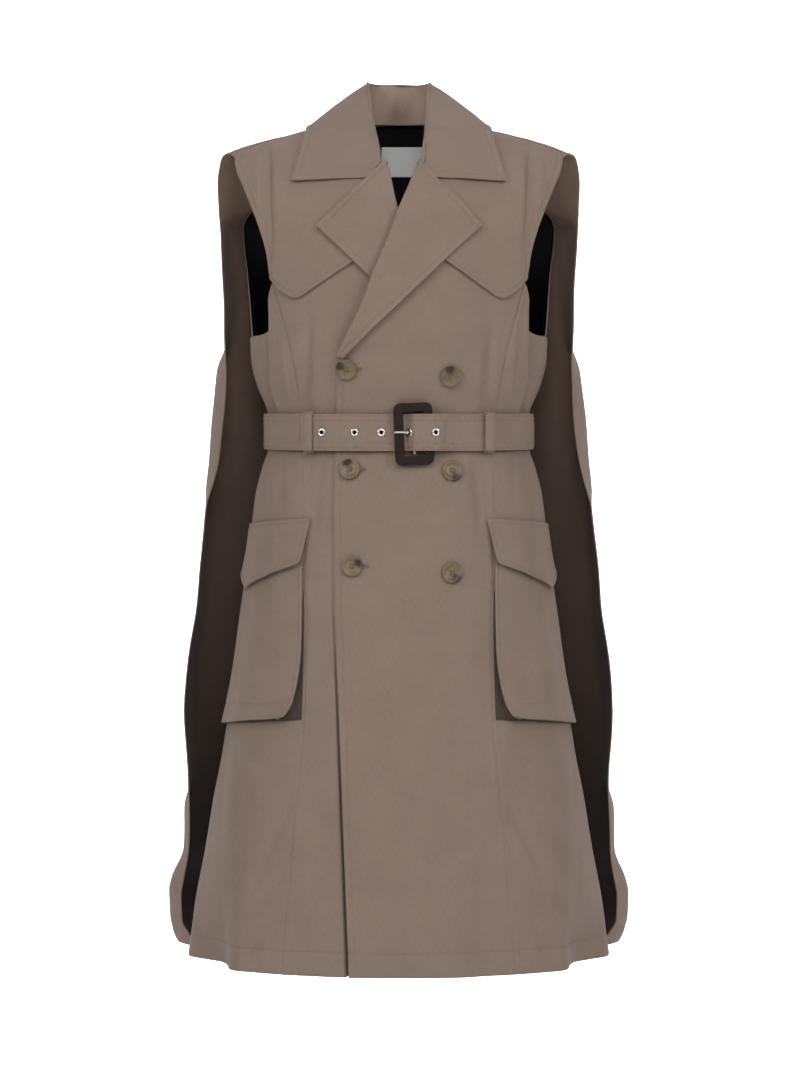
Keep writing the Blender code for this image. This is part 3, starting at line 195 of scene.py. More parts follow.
# Lower edge of the storm flaps, from the lapel to the armhole
STORM_EDGE = (
    Line(-0.1560, 0.0460), Line(-0.1620, 0.0560), Line(-0.1790, 0.0825), Line(-0.1900, 0.0995),
    Line(-0.1990, 0.1160), Line(-0.1895, 0.1340), Line(-0.1758, 0.1463),
)
STORM_INNER_TOP = 0.070
STORM_SEAM_DROP = 0.0030
STORM_SEAM_DIP = 0.0085
STORM_SEAM_SHARPNESS = 5
STORM_SEAM_OUTER = -0.0250
STORM_BOW = 0.024
STORM_EASE = 1.7
STORM_FLARE_LOW = 0.0010
STORM_FLARE_TOP = 0.0006
STORM_DROP = 0.0004
CORNER_START = Zone(0.93, 1.00)
CORNER_SEAM = (0.0, -0.001, -0.0095)
CORNER_MOVE = (0.008, -0.004, -0.006)
CORNER_TOP = 0.3
HEM_CORNER_EDGE = Zone(0.94, 1.00)
HEM_CORNER_RISE = Zone(-0.966, -0.935)
HEM_CORNER_IN = 0.0050
STORM_TUCK = 0.005
STORM_TUCK_ROOM = 0.0012
STORM_TUCK_DIP = 0.0004

# Level sections of the cape: middle of the back, shoulder blade, side, free edge
Cape = namedtuple("Cape", "height back_y blade_x blade_y side_x side_y edge_x edge_y")
CAPE = (
    Cape(-0.100, 0.132, 0.105, 0.127, 0.1960, 0.086, 0.2175, 0.036),
    Cape(-0.185, 0.143, 0.108, 0.138, 0.1960, 0.088, 0.2130, 0.036),
    Cape(-0.229, 0.149, 0.110, 0.144, 0.1990, 0.086, 0.2112, 0.032),
    Cape(-0.270, 0.154, 0.113, 0.149, 0.2172, 0.074, 0.2087, 0.022),
    Cape(-0.307, 0.159, 0.116, 0.154, 0.2210, 0.070, 0.2093, 0.018),
    Cape(-0.343, 0.164, 0.120, 0.158, 0.2246, 0.070, 0.2118, 0.016),
    Cape(-0.380, 0.169, 0.124, 0.163, 0.2280, 0.072, 0.2166, 0.018),
    Cape(-0.416, 0.174, 0.128, 0.168, 0.2305, 0.078, 0.2263, 0.024),
    Cape(-0.434, 0.176, 0.130, 0.170, 0.2290, 0.090, 0.2330, 0.034),
    Cape(-0.550, 0.192, 0.140, 0.184, 0.2350, 0.105, 0.2457, 0.046),
    Cape(-0.682, 0.208, 0.152, 0.199, 0.2480, 0.112, 0.2615, 0.052),
    Cape(-0.767, 0.218, 0.158, 0.208, 0.2480, 0.106, 0.2554, 0.044),
    Cape(-0.800, 0.222, 0.160, 0.212, 0.2572, 0.086, 0.2540, 0.034),
    Cape(-0.850, 0.228, 0.164, 0.217, 0.2588, 0.082, 0.2560, 0.036),
    Cape(-0.888, 0.232, 0.167, 0.221, 0.2740, 0.090, 0.2615, 0.036),
    Cape(-0.904, 0.234, 0.168, 0.223, 0.2775, 0.090, 0.2640, 0.034),
    Cape(-0.934, 0.236, 0.170, 0.225, 0.2765, 0.090, 0.2630, 0.034),
    Cape(-0.952, 0.237, 0.171, 0.226, 0.2735, 0.090, 0.2568, 0.034),
    Cape(-0.9665, 0.238, 0.171, 0.227, 0.2680, 0.090, 0.2496, 0.034),
)
CAPE_HEM = -0.9665
CAPE_SEAM_OUTER = 0.189
CAPE_RIDGE_GAP = 0.0040
CAPE_TIP_DROP = 0.0016
CAPE_EDGE_FORWARD = 0.5
CAPE_TIP_SHARPNESS = 8
CAPE_OVERHANG = (0.016, 0.0240, 0.0290, 0.0295)
CAPE_KNOTS = (0.0, 0.42, 0.80, 1.0)
CAPE_TURN = 0.72
CAPE_BODY_X = 0.172
CAPE_SEAM_GAP = 0.0012
CAPE_NECK_ROOM = 0.0025
CAPE_NECK_GROW = Zone(0.5, 1.0)
CAPE_NECK_FADE = Zone(0.0, 0.3)
CAPE_RIDGE_SHARE = 0.6
CAPE_CREASED = Zone(0.62, 0.80)
CAPE_WAVES = 1.5
CAPE_ROWS = (Band(0.0, 0.03, 12), Band(0.035, 1.0, 150))
CAPE_COLUMNS = 141
CAPE_CROWDING = 0.5
NECK_SHARE = 0.36

# Steps of the cape down from its upper edge: drop below that edge, gap over the back
Step = namedtuple("Step", "drop gap")
CAPE_NECK_STEPS = (Step(0.0010, 0.0030), Step(0.010, 0.0060), Step(0.030, 0.0085), Step(0.062, 0.0110))
CAPE_SHOULDER_STEPS = (Step(0.007, 0.0056), Step(0.028, 0.0085), Step(0.060, 0.0110))

# Flutes of the cape at its hem: place from the middle (0) to the free edge (1), half spread, height of wave
Flute = namedtuple("Flute", "place spread wave")
FLUTES = (
    Flute(0.00, 0.11, 0.014), Flute(0.24, 0.10, -0.013), Flute(0.45, 0.10, 0.012),
    Flute(0.64, 0.08, -0.009),
)
FLUTE_TOP = -0.30

# Collar, from the middle of the back to the front end: neck seam, roll, outer edge
Collar = namedtuple("Collar", "along neck_x neck_y neck_z roll_x roll_y roll_z edge_x edge_y edge_z")
COLLAR = (
    Collar(0.00, 0.0000, 0.0610, 0.032, 0.0000, 0.0580, 0.0765, 0.0000, 0.106, 0.006),
    Collar(0.22, 0.0330, 0.0540, 0.031, 0.0225, 0.0565, 0.0757, 0.0560, 0.099, 0.007),
    Collar(0.40, 0.0545, 0.0330, 0.028, 0.0395, 0.0350, 0.0757, 0.0960, 0.066, 0.0094),
    Collar(0.58, 0.0620, 0.0040, 0.024, 0.0370, -0.0040, 0.0535, 0.1085, 0.006, 0.0132),
    Collar(0.76, 0.0500, -0.0430, 0.000, 0.0330, -0.0520, 0.0180, 0.1095, -0.054, -0.003),
    Collar(0.90, 0.0340, -0.0800, -0.034, 0.0265, -0.0860, -0.0220, 0.1168, -0.080, -0.040),
    Collar(1.00, 0.0240, -0.1000, -0.050, 0.0245, -0.1040, -0.0430, 0.1229, -0.092, -0.0647),
)
STAND_INSET = 0.0022
STAND_DROP = 0.0022
STAND_END = 0.90
STAND_CENTRE_Y = -0.005
STAND_HANG = 0.10
STAND_HANG_IN = 0.0008
COLLAR_SHIFT = 0.0033
COLLAR_SHIFTED = Zone(0.60, 1.00)
COLLAR_CLEAR_INNER = 0.0080
COLLAR_CLEAR_OUTER = 0.0070
COLLAR_FRONT = Zone(0.54, 0.64)
COLLAR_ABOVE = Zone(-0.001, 0.012)
COLLAR_GROUND_DROP = 0.0005
COLLAR_EXTRA_CLEAR = 0.8
COLLAR_HIGH = Zone(0.02, 0.06)
ROLL_RADIUS = 0.0023
ROLL_ROWS = 9
COLLAR_WAVES = 0.7
COLLAR_WAVE_SLANT = 0.6
STAND_COLUMNS = 120
STAND_ROWS = 28
STAND_WAVES = 3.0
STAND_WAVE_SQUEEZE = 1.8

# The fall swells over the stand at the back and over the shoulder
FALL_BULGE = 0.006
BULGE_SIDE = 0.4
BULGE_BACK = 0.5
BULGE_UP = 0.8
BULGE_SIDE_START = 0.2
SHOULDER_SWELL = 0.008
SHOULDER_SWELL_START = Zone(0.22, 0.42)
SHOULDER_SWELL_END = Zone(0.60, 0.80)

# The notch: the fall's front edge runs level from its point, then turns up along the gorge seam
NOTCH_DROP = 0.0149
NOTCH_TURN = Zone(0.84, 1.00)
NOTCH_END = Zone(0.86, 1.00)

# Belt and buckle
BELT_HEIGHT = -0.3470
BELT_DIP = -0.0065
BELT_HALF = 0.021
BELT_SIDE = 0.1605
BELT_FRONT = 0.1180
BELT_BACK = 0.1010
BELT_SQUARE = 2.35
BUCKLE_X = 0.0172
BUCKLE_HEIGHT = -0.3552
BUCKLE_WIDE = 0.0445
BUCKLE_TALL = 0.071
BUCKLE_BAR = 0.0106
BUCKLE_THICK = 0.0054
BUCKLE_CORNER = 0.0080
BUCKLE_LEFT_LIFT = 0.0070
BUCKLE_RIGHT_LIFT = 0.0022
BUCKLE_TURN = math.radians(2.5)
BUCKLE_RIM = 0.0025
BUCKLE_NEARBY = 0.01
EYELETS_X = (-0.0868, -0.0496, -0.0195, 0.0113, 0.0402)
EYELET_RING = 0.0036
EYELET_WIRE = 0.0011
EYELET_SLIM = 0.94
EYELET_STOUT = 1.1
EYELET_FLAT = 0.62
EYELET_FLOOR = 0.0008
EYELET_FLOOR_IN = 0.0004
# Painted shade in the hole: faces nearer the middle than this many wires inside the ring's radius are black
EYELET_PAINTED_SHADE = 1.2
EYELET_NEARBY = 0.003
EYELET_SEAT = 0.9

# Slow ripples of the belt: height, length of one radian of a ripple, slant
Ripple = namedtuple("Ripple", "height length slant")
BELT_RIPPLES = (Ripple(0.00025, 0.0067, 40), Ripple(0.0003, 0.021, -60))

# Run of the belt: share of its columns used up so far, and distance from the middle reached at the front
Stop = namedtuple("Stop", "columns x")
BELT_STOPS = (Stop(0, 0.016), Stop(38, 0.096), Stop(44, 0.056), Stop(62, 0.002), Stop(74, -0.112))

# Height of the strap above the belt's own oval as it runs through the buckle, by distance from the middle
Strap = namedtuple("Strap", "x lift")
STRAP = (
    Strap(-0.120, 0.0029), Strap(-0.008, 0.0029), Strap(0.0086, 0.0030), Strap(0.0130, 0.0078),
    Strap(0.0172, 0.0116), Strap(0.030, 0.0110), Strap(0.0435, 0.0102), Strap(0.054, 0.0052),
    Strap(0.072, 0.0012), Strap(0.095, 0.0),
)

# Belt loops: height of the loop above the body, by distance from the belt's middle line
LOOP_X = 0.1028
LOOP_HALF = 0.0062
LOOP_OVER = 0.0056
LOOP_SLIM = 0.92
LOOP_SHORT = 0.90
LOOP_RAISE = 0.0014
Loop = namedtuple("Loop", "rise lift")
LOOP = (
    Loop(-0.0276, 0.0026), Loop(-0.0268, 0.0036), Loop(-0.0252, 0.0110), Loop(-0.0236, 0.0160),
    Loop(0.0000, 0.0166), Loop(0.0236, 0.0160), Loop(0.0252, 0.0110), Loop(0.0268, 0.0036),
    Loop(0.0276, 0.0026),
)

# Bellows pockets on the side panels; distances run round the body from the side-front seam
POCKET_TOP = -0.478
POCKET_BOTTOM_INNER = -0.6795
POCKET_BOTTOM_OUTER = -0.6965
POCKET_INNER = 0.002
POCKET_MARGIN = 0.006
POCKET_LIFT_TOP = 0.0021
POCKET_LIFT_INNER = 0.0085
POCKET_LIFT_OUTER = 0.0058
POCKET_LIFT_EDGE = 0.004
POCKET_CORNER_HEIGHT = -0.600
POCKET_CORNER_IN = 0.021
GUSSET_TURN = 9 / 19
GUSSET_TOP = 0.72
GUSSET_FOOT = 0.0013
GUSSET_DROP = 0.0020
GUSSET_PLEAT = 0.30
GUSSET_PLEAT_REACH = 0.020
GUSSET_PLEAT_LOW = -0.672
FLAP_INNER = -0.010
FLAP_TOP_INNER = -0.4514
FLAP_TOP_OUTER = -0.4590
FLAP_LOW_INNER = -0.5030
FLAP_LOW_TIP = -0.5330
FLAP_LOW_OUTER = -0.5080
FLAP_INNER_LOW = 0.001
FLAP_OUTER_MARGIN = 0.003
FLAP_TIP_SHARE = 0.55
FLAP_LIFT_TOP = 0.0030
FLAP_LIFT_INNER = 0.0110
FLAP_LIFT_OUTER = 0.0070
FLAP_EASE = 0.7
LIFT_SIDE = Zone(0.35, 0.80)

# Buttons, on the lapped left front, with the place of the dark spot in each as an angle
Button = namedtuple("Button", "name x height spot buttonhole")
BUTTONS = (
    Button("button_1", -0.0588, -0.2810, 150, True), Button("button_2", 0.0586, -0.2886, 100, False),
    Button("button_3", -0.0550, -0.3962, 110, True), Button("button_4", 0.0603, -0.3979, 300, False),
    Button("button_5", -0.0520, -0.5063, 20, True), Button("button_6", 0.0596, -0.5138, 310, False),
)
BUTTON_SEAT = 0.0004

# A button's face, as shares of its radius or thickness: rim, slope inside it, how far it sinks, flat part
BUTTON_RIM = 0.20
BUTTON_SLOPE = 0.13
BUTTON_SUNK = 0.30
BUTTON_FLAT = 0.25

# A button's rounded edge, its four holes and its dark spot
BUTTON_EDGE = 0.0010
HOLE_OUT = 0.0024
HOLE_RADIUS = 0.0009
SPOT_OUT = 0.72
SPOT_SPREAD = 0.36
SPOT_DEPTH = 1.1

# Thread through the holes and round the buttonholes: length and thickness of a stitch, places
Stitch = namedtuple("Stitch", "length thread")
BUTTON_STITCH = Stitch(0.0040, 0.0008)
THREAD_LEVEL = 0.72
THREAD_LIFT = 0.0003
THREAD_RISE = 0.0017
THREAD_SHIFT = 0.0004
BUTTONHOLE_STITCH = Stitch(0.0026, 0.0009)
BUTTONHOLE_PITCH = 0.0009
BUTTONHOLE_HALF = 0.0115
BUTTONHOLE_TALL = 0.0014
BUTTONHOLE_SHIFT = 0.0065
BUTTONHOLE_SQUARE = 0.6
BUTTONHOLE_LIFT = 0.0001

# Blank neck label
LABEL_X = 0.007
LABEL_WIDE = 0.060
LABEL_TOP = 0.006
LABEL_LOW = -0.029

# The lining: its part of the back's width, nearer the armholes than its solid's, its drop and its waves
LINING_SHARE = Zone(0.04, 0.96)
LINING_DROP = 0.003
LINING_WAVES = 1.6

# Step for finding which way a surface faces
NEARBY = 0.0006

# Soft troughs (below 0) and ridges (above 0) in the cloth, from a low end to a high end, bowed sideways
Crease = namedtuple("Crease", "low_x low_z high_x high_z width depth bow")
CREASES = {
    "front_left": (
        Crease(-0.024, -0.268, 0.056, -0.164, 0.0110, -0.0024, 0.004),
        Crease(0.034, -0.900, 0.068, -0.680, 0.0120, -0.0030, 0.004),
        Crease(0.058, -0.860, 0.076, -0.700, 0.0080, 0.0016, 0.003),
        Crease(-0.034, -0.930, -0.020, -0.700, 0.0160, -0.0016, -0.004),
        Crease(0.094, -0.470, 0.086, -0.374, 0.0060, -0.0032, 0.002),
        Crease(0.103, -0.452, 0.100, -0.374, 0.0050, -0.0024, -0.001),
        Crease(0.066, -0.436, 0.072, -0.374, 0.0075, -0.0010, 0.000),
        Crease(-0.010, -0.420, -0.004, -0.374, 0.0090, -0.0006, 0.000),
        Crease(0.098, -0.326, 0.106, -0.226, 0.0060, -0.0030, 0.002),
        Crease(0.087, -0.326, 0.092, -0.250, 0.0055, 0.0018, 0.001),
        Crease(0.074, -0.326, 0.066, -0.272, 0.0080, -0.0011, -0.002),
        Crease(0.022, -0.326, 0.026, -0.290, 0.0080, -0.0007, 0.000),
        Crease(-0.040, -0.560, -0.020, -0.515, 0.0090, 0.0010, 0.000),
        Crease(0.030, -0.958, 0.024, -0.912, 0.0090, -0.0020, 0.000),
        Crease(0.088, -0.955, 0.096, -0.830, 0.0120, -0.0026, 0.004),
    ),
    "front_right": (
        Crease(0.052, -0.222, 0.064, -0.172, 0.0080, -0.0016, 0.000),
        Crease(0.096, -0.474, 0.088, -0.374, 0.0060, -0.0032, 0.002),
        Crease(0.104, -0.446, 0.102, -0.374, 0.0048, -0.0024, 0.001),
        Crease(0.080, -0.432, 0.079, -0.374, 0.0060, -0.0009, 0.000),
        Crease(0.108, -0.326, 0.104, -0.208, 0.0060, -0.0032, -0.002),
        Crease(0.096, -0.326, 0.093, -0.240, 0.0055, 0.0020, 0.001),
        Crease(0.086, -0.326, 0.080, -0.276, 0.0070, -0.0010, 0.000),
        Crease(0.082, -0.940, 0.086, -0.740, 0.0140, -0.0030, 0.003),
        Crease(0.104, -0.950, 0.098, -0.800, 0.0100, 0.0020, 0.002),
    ),
    "side_left": (
        Crease(0.052, -0.872, 0.006, -0.766, 0.0080, -0.0034, 0.003),
        Crease(0.058, -0.900, 0.004, -0.842, 0.0080, -0.0028, 0.002),
        Crease(0.030, -0.956, 0.022, -0.918, 0.0060, 0.0022, 0.000),
        Crease(0.048, -0.956, 0.044, -0.926, 0.0060, -0.0026, 0.000),
        Crease(0.012, -0.956, 0.008, -0.930, 0.0050, -0.0018, 0.000),
        Crease(0.046, -0.326, 0.074, -0.246, 0.0070, -0.0036, 0.003),
        Crease(0.014, -0.326, 0.006, -0.236, 0.0055, 0.0026, 0.001),
        Crease(0.030, -0.440, 0.026, -0.374, 0.0070, -0.0012, 0.000),
        Crease(0.056, -0.452, 0.060, -0.374, 0.0080, -0.0016, 0.000),
    ),
    "side_right": (
        Crease(0.046, -0.866, 0.004, -0.772, 0.0080, -0.0032, 0.003),
        Crease(0.056, -0.906, 0.006, -0.850, 0.0080, -0.0028, -0.002),
        Crease(0.026, -0.956, 0.020, -0.922, 0.0060, 0.0022, 0.000),
        Crease(0.042, -0.956, 0.040, -0.930, 0.0060, -0.0024, 0.000),
        Crease(0.050, -0.326, 0.076, -0.250, 0.0070, -0.0034, 0.003),
        Crease(0.016, -0.326, 0.008, -0.240, 0.0055, 0.0024, 0.001),
        Crease(0.034, -0.446, 0.030, -0.374, 0.0070, -0.0013, 0.000),
        Crease(0.062, -0.440, 0.064, -0.374, 0.0080, -0.0014, 0.000),
    ),
    "back": (
        Crease(-0.040, -0.480, -0.032, -0.374, 0.0120, -0.0020, 0.002),
        Crease(0.030, -0.500, 0.024, -0.374, 0.0130, -0.0022, 0.002),
        Crease(0.090, -0.460, 0.080, -0.374, 0.0110, -0.0018, 0.000),
        Crease(-0.100, -0.450, -0.086, -0.374, 0.0110, -0.0017, 0.000),
        Crease(-0.060, -0.326, -0.072, -0.200, 0.0120, -0.0018, 0.003),
        Crease(0.058, -0.326, 0.066, -0.220, 0.0120, -0.0016, -0.003),
    ),
    "storm_flap_left": (
        Crease(0.1475, -0.146, 0.1535, -0.018, 0.0050, -0.0060, 0.001),
        Crease(0.1400, -0.116, 0.1440, -0.022, 0.0060, 0.0028, 0.001),
        Crease(0.1640, -0.070, 0.1620, -0.024, 0.0060, 0.0022, 0.000),
        Crease(0.0900, -0.150, 0.1080, -0.060, 0.0200, 0.0010, 0.002),
    ),
    "storm_flap_right": (
        Crease(0.1480, -0.150, 0.1530, -0.018, 0.0050, -0.0060, 0.001),
        Crease(0.1405, -0.108, 0.1440, -0.024, 0.0060, 0.0028, -0.001),
        Crease(0.1640, -0.074, 0.1620, -0.026, 0.0060, 0.0022, 0.000),
        Crease(0.0960, -0.146, 0.1100, -0.054, 0.0200, 0.0010, -0.002),
    ),
    "cape": (
        Crease(-0.150, -0.760, -0.120, -0.140, 0.0240, -0.0060, 0.010),
        Crease(-0.060, -0.820, -0.082, -0.180, 0.0260, 0.0050, 0.008),
        Crease(0.020, -0.700, 0.006, -0.160, 0.0220, -0.0045, -0.006),
        Crease(0.098, -0.840, 0.090, -0.200, 0.0250, 0.0050, 0.010),
        Crease(0.168, -0.740, 0.136, -0.130, 0.0220, -0.0060, -0.008),
        Crease(-0.020, -0.360, -0.058, -0.080, 0.0160, -0.0030, 0.004),
        Crease(0.046, -0.420, 0.072, -0.090, 0.0170, -0.0032, -0.004),
    ),
}

CREASE_STARTS = Zone(-0.15, 0.30)
CREASE_ENDS = Zone(0.70, 1.15)

# Slow waves in soft cloth: lengths of one wave sideways and upward, phase, height
Wave = namedtuple("Wave", "sideways upward phase height")
WAVES = (
    Wave(0.110, 0.420, 0.4, 0.00040), Wave(-0.075, 0.310, 2.1, 0.00026), Wave(0.048, -0.190, 4.0, 0.00018),
    Wave(0.160, 0.095, 1.2, 0.00022), Wave(-0.033, 0.120, 5.2, 0.00010),
)

# Short puckers that a row of stitches draws into the cloth: length of one, height
Pucker = namedtuple("Pucker", "length phase height")
PUCKERS = (Pucker(0.0130, 0.3, 0.00012), Pucker(0.0083, 2.4, 0.00009), Pucker(0.0212, 4.4, 0.00013))

# Rows of topstitching: panel, edge that a row follows, its distance from that edge, bare ends
Row = namedtuple("Row", "panel edge distance start end")
TOPSTITCH = {
    "stitches_front": (
        Row("front_left", "left", 0.0075, 0.006, 0.232),
        Row("front_left", "bottom", 0.0270, 0.004, 0.001),
        Row("front_right", "bottom", 0.0270, 0.001, 0.010),
        Row("side_left", "bottom", 0.0270, 0.001, 0.001),
        Row("side_right", "bottom", 0.0270, 0.001, 0.001),
        Row("back_left", "bottom", 0.0270, 0.001, 0.001),
        Row("back_right", "bottom", 0.0270, 0.001, 0.001),
    ),
    "stitches_lapels": (
        Row("lapel_left", "right", 0.0062, 0.012, 0.0062), Row("lapel_left", "top", 0.0062, 0.002, 0.0062),
        Row("lapel_right", "left", 0.0062, 0.002, 0.0062), Row("lapel_right", "top", 0.0062, 0.0062, 0.002),
    ),
    "stitches_collar": (
        Row("collar_fall", "bottom", 0.0078, 0.0078, 0.0078),
        Row("collar_fall", "left", 0.0078, 0.0078, 0.010), Row("collar_fall", "right", 0.0078, 0.0078, 0.010),
    ),
    "stitches_storm_flaps": (
        Row("storm_flap_left", "bottom", 0.0060, 0.004, 0.006),
        Row("storm_flap_left", "right", 0.0060, 0.006, 0.004),
        Row("storm_flap_right", "bottom", 0.0060, 0.006, 0.004),
        Row("storm_flap_right", "left", 0.0060, 0.006, 0.004),
    ),
    "stitches_cape": (
        Row("cape", "bottom", 0.0200, 0.006, 0.006), Row("cape", "left", 0.0070, 0.020, 0.010),
        Row("cape", "right", 0.0070, 0.020, 0.010),
    ),
    "stitches_belt": (
        Row("belt", "bottom", 0.0030, 0.004, 0.004), Row("belt", "bottom", 0.0085, 0.004, 0.004),
        Row("belt", "top", 0.0030, 0.004, 0.004), Row("belt", "top", 0.0085, 0.004, 0.004),
        Row("belt_loop_left", "left", 0.0018, 0.002, 0.002),
        Row("belt_loop_left", "right", 0.0018, 0.002, 0.002),
        Row("belt_loop_right", "left", 0.0018, 0.002, 0.002),
        Row("belt_loop_right", "right", 0.0018, 0.002, 0.002),
    ),
    "stitches_pockets": (
        Row("pocket_left", "left", 0.0050, 0.004, 0.060), Row("pocket_left", "bottom", 0.0240, 0.006, 0.004),
        Row("pocket_right", "right", 0.0050, 0.004, 0.060),
        Row("pocket_right", "bottom", 0.0240, 0.004, 0.006),
        Row("pocket_flap_left", "bottom", 0.0060, 0.006, 0.006),
        Row("pocket_flap_left", "left", 0.0060, 0.006, 0.008),
        Row("pocket_flap_left", "top", 0.0045, 0.004, 0.004),
        Row("pocket_flap_right", "bottom", 0.0060, 0.006, 0.006),
        Row("pocket_flap_right", "right", 0.0060, 0.006, 0.008),
        Row("pocket_flap_right", "top", 0.0045, 0.004, 0.004),
    ),
}
GROOVE_WIDTH = 0.0013
GROOVE_DEPTH = 0.00070
PUCKER_REACH = 0.007
STITCH_SHARE = 0.82
STITCH_SIGHT = 0.3
RIM_SHARE = 0.3
SEAMED_RIM = 0.12

# The slit along the left front's free edge, deeper toward the hem
SLIT_GROWS = Zone(-0.820, -0.470)
SLIT_COLUMNS = Zone(0.59, 0.83)
SLIT_CURL = 0.0016
SLIT_PLACE = 0.0010
SLIT_WIDTH_TOP = 0.0013
SLIT_WIDTH_LOW = 0.0015
SLIT_FALL = 0.0010
SLIT_DEPTH = 0.0085
SLIT_REACH = 0.010
SLIT_TOP = Zone(-0.300, -0.270)

# Seams between body panels
SEAM_RIDGE = 0.0002
SEAM_RIDGE_PLACE = 0.0045
SEAM_RIDGE_WIDTH = 0.0028
SEAM_DEPTH = 0.0004
SEAM_WIDTH = 0.0018
EDGE_ROLL = 0.0016
EDGE_ROLL_DEPTH = 0.0006

# Free edges that curl up from the cloth under them
CURL_REACH = 0.010
LAPEL_EDGE_CURL = 0.0030
COLLAR_CURL = 0.0020
COLLAR_GORGE = Zone(0.45, 0.75)
RIGHT_LAPEL_SHOWS = Zone(-0.180, -0.150)
STORM_CURL = 0.0012
FLAP_CURL = 0.0016
BAG_CURL = 0.0012

# Grids of the cloth pieces: columns and rows, and how strongly these crowd toward the ends
CROWDING = 0.75
FRONT_COLUMNS = 76
RIGHT_COLUMNS = 64
SLIT_COLUMN_COUNT = 46
SIDE_COLUMNS = 72
BACK_COLUMNS = 38
Grid = namedtuple("Grid", "columns column_crowding rows row_crowding")
GRIDS = {
    "lining_back": Grid(60, 0.0, 60, 0.0), "label": Grid(30, 0.0, 18, 0.0),
    "storm_flap": Grid(64, CROWDING, 72, 0.70), "lapel": Grid(56, CROWDING, 110, 0.60),
    "collar_fall": Grid(181, 0.45, 48, 0.60), "belt": Grid(371, 0.0, 30, 0.60),
    "belt_loop": Grid(15, 0.50, 70, 0.0), "pocket_gusset": Grid(96, 0.0, 7, 0.0),
    "pocket": Grid(56, CROWDING, 90, 0.60), "pocket_flap": Grid(56, CROWDING, 40, 0.60),
}

# Sizes of the materials' patterns, and bands of a wave texture to one unit of its scale
TWILL_LINE = 0.0011
TWILL_ANGLE = math.radians(27)
SLUB_WIDE = 0.001
SLUB_LONG = 0.007
TONE_PATCH = 0.040
LINING_THREAD = 0.0008
LINING_THREAD_LONG = 0.012
LABEL_RIB = 0.0009
PLY_TWIST = 0.0007
LEATHER_GRAIN = 0.0009
LEATHER_PATCH = 0.009
RUB_MARK = 0.0005
HORN_CLOUD = 0.004
PAPER_FIBRE = 0.004
WAVE_BANDS = 3.2

# How much darker and paler than its own colour each pattern runs
Tones = namedtuple("Tones", "dark pale")
LINING_TONES = Tones(0.7, 1.3)
LABEL_TONES = Tones(0.93, 1.0)
THREAD_TONES = Tones(0.8, 1.1)
LEATHER_TONES = Tones(0.8, 1.5)
HORN_TONES = Tones(0.8, 1.15)
PAPER_TONES = Tones(0.985, 1.0)
# Painted light that makes the inside of the neck paler than the face
STAND_PAINTED_LIGHT = 1.35
# Painted shade that darkens the pocket gussets
GUSSET_PAINTED_SHADE = 0.24
CAPE_INSIDE_YARN = 0.8
# Painted shade: the cape's inside darkens toward the hem, down to this share of its colour there
CAPE_INSIDE_PAINTED_SHADE_AT_HEM = 0.03

# Camera and stage
CAMERA_PLACE = (0.0015, -2.8, -0.4685)
FRAME_LONG_SIDE = 1067
FOCAL_PIXELS = 2352
FLOOR_HEIGHT = -1.42
BACKDROP_Y = 2.2
BACKDROP_BEND = 0.9
BACKDROP_HALF = 6.0
BACKDROP_NEAR = -7.0
BACKDROP_TOP = 5.0
Lamp = namedtuple("Lamp", "name place aim size power")
LAMPS = (
    Lamp("key_softbox", (0.1, -2.6, 1.9), (0.0, 0.0, -0.35), 1.4, 24.0),
    Lamp("left_softbox", (-2.1, -2.5, 0.7), (0.0, 0.0, -0.35), 1.1, 32.0),
    Lamp("right_softbox", (2.1, -2.5, 0.7), (0.0, 0.0, -0.35), 1.1, 32.0),
    Lamp("front_softbox", (0.0, -3.4, 0.7), (0.0, 0.0, -0.10), 1.4, 21.0),
    Lamp("top_softbox", (0.0, 0.1, 2.4), (0.0, 0.1, -0.4), 1.8, 16.0),
    Lamp("paper_lamp_left", (-1.75, 1.15, 0.1), (-1.25, 3.1, -0.5), 1.4, 110.0),
    Lamp("paper_lamp_right", (1.75, 1.15, 0.1), (1.25, 3.1, -0.5), 1.4, 110.0),
)
WORLD_STRENGTH = 0.26

PANELS = {}


def linear(hex_colour):
    """Return the linear red, green and blue of an sRGB hex colour."""
    parts = [int(hex_colour[place:place + 2], 16) / 255 for place in (0, 2, 4)]
    return tuple(part / 12.92 if part <= 0.04045 else ((part + 0.055) / 1.055) ** 2.4 for part in parts)


def length_property(name, description, default):
    """Return a property for a length in metres."""
    return bpy.props.FloatProperty(
        name=name, description=description, default=default, unit="LENGTH", precision=5)


def colour_property(name, description, hex_colour):
    """Return a property for a colour."""
    return bpy.props.FloatVectorProperty(
        name=name, description=description, default=linear(hex_colour), subtype="COLOR", min=0.0, max=1.0)


class VestSizes(bpy.types.PropertyGroup):
    """Sizes that a maker would change."""

    cloth: length_property("Cloth", "Thickness of one layer of gabardine", 0.0016)
    doubled: length_property("Doubled cloth", "Thickness of a turned piece such as a lapel", 0.0021)
    lining: length_property("Lining", "Thickness of the lining", 0.0008)
    belt: length_property("Belt", "Thickness of the belt", 0.0024)
    label: length_property("Label", "Thickness of the neck label", 0.0006)
    stitch: length_property("Stitch", "Length of one stitch with its gap", 0.0034)
    thread: length_property("Thread", "Thickness of the sewing thread", 0.0006)
    button: length_property("Button", "Radius of a button", 0.0120)
    button_thick: length_property("Button height", "Thickness of a button", 0.0040)


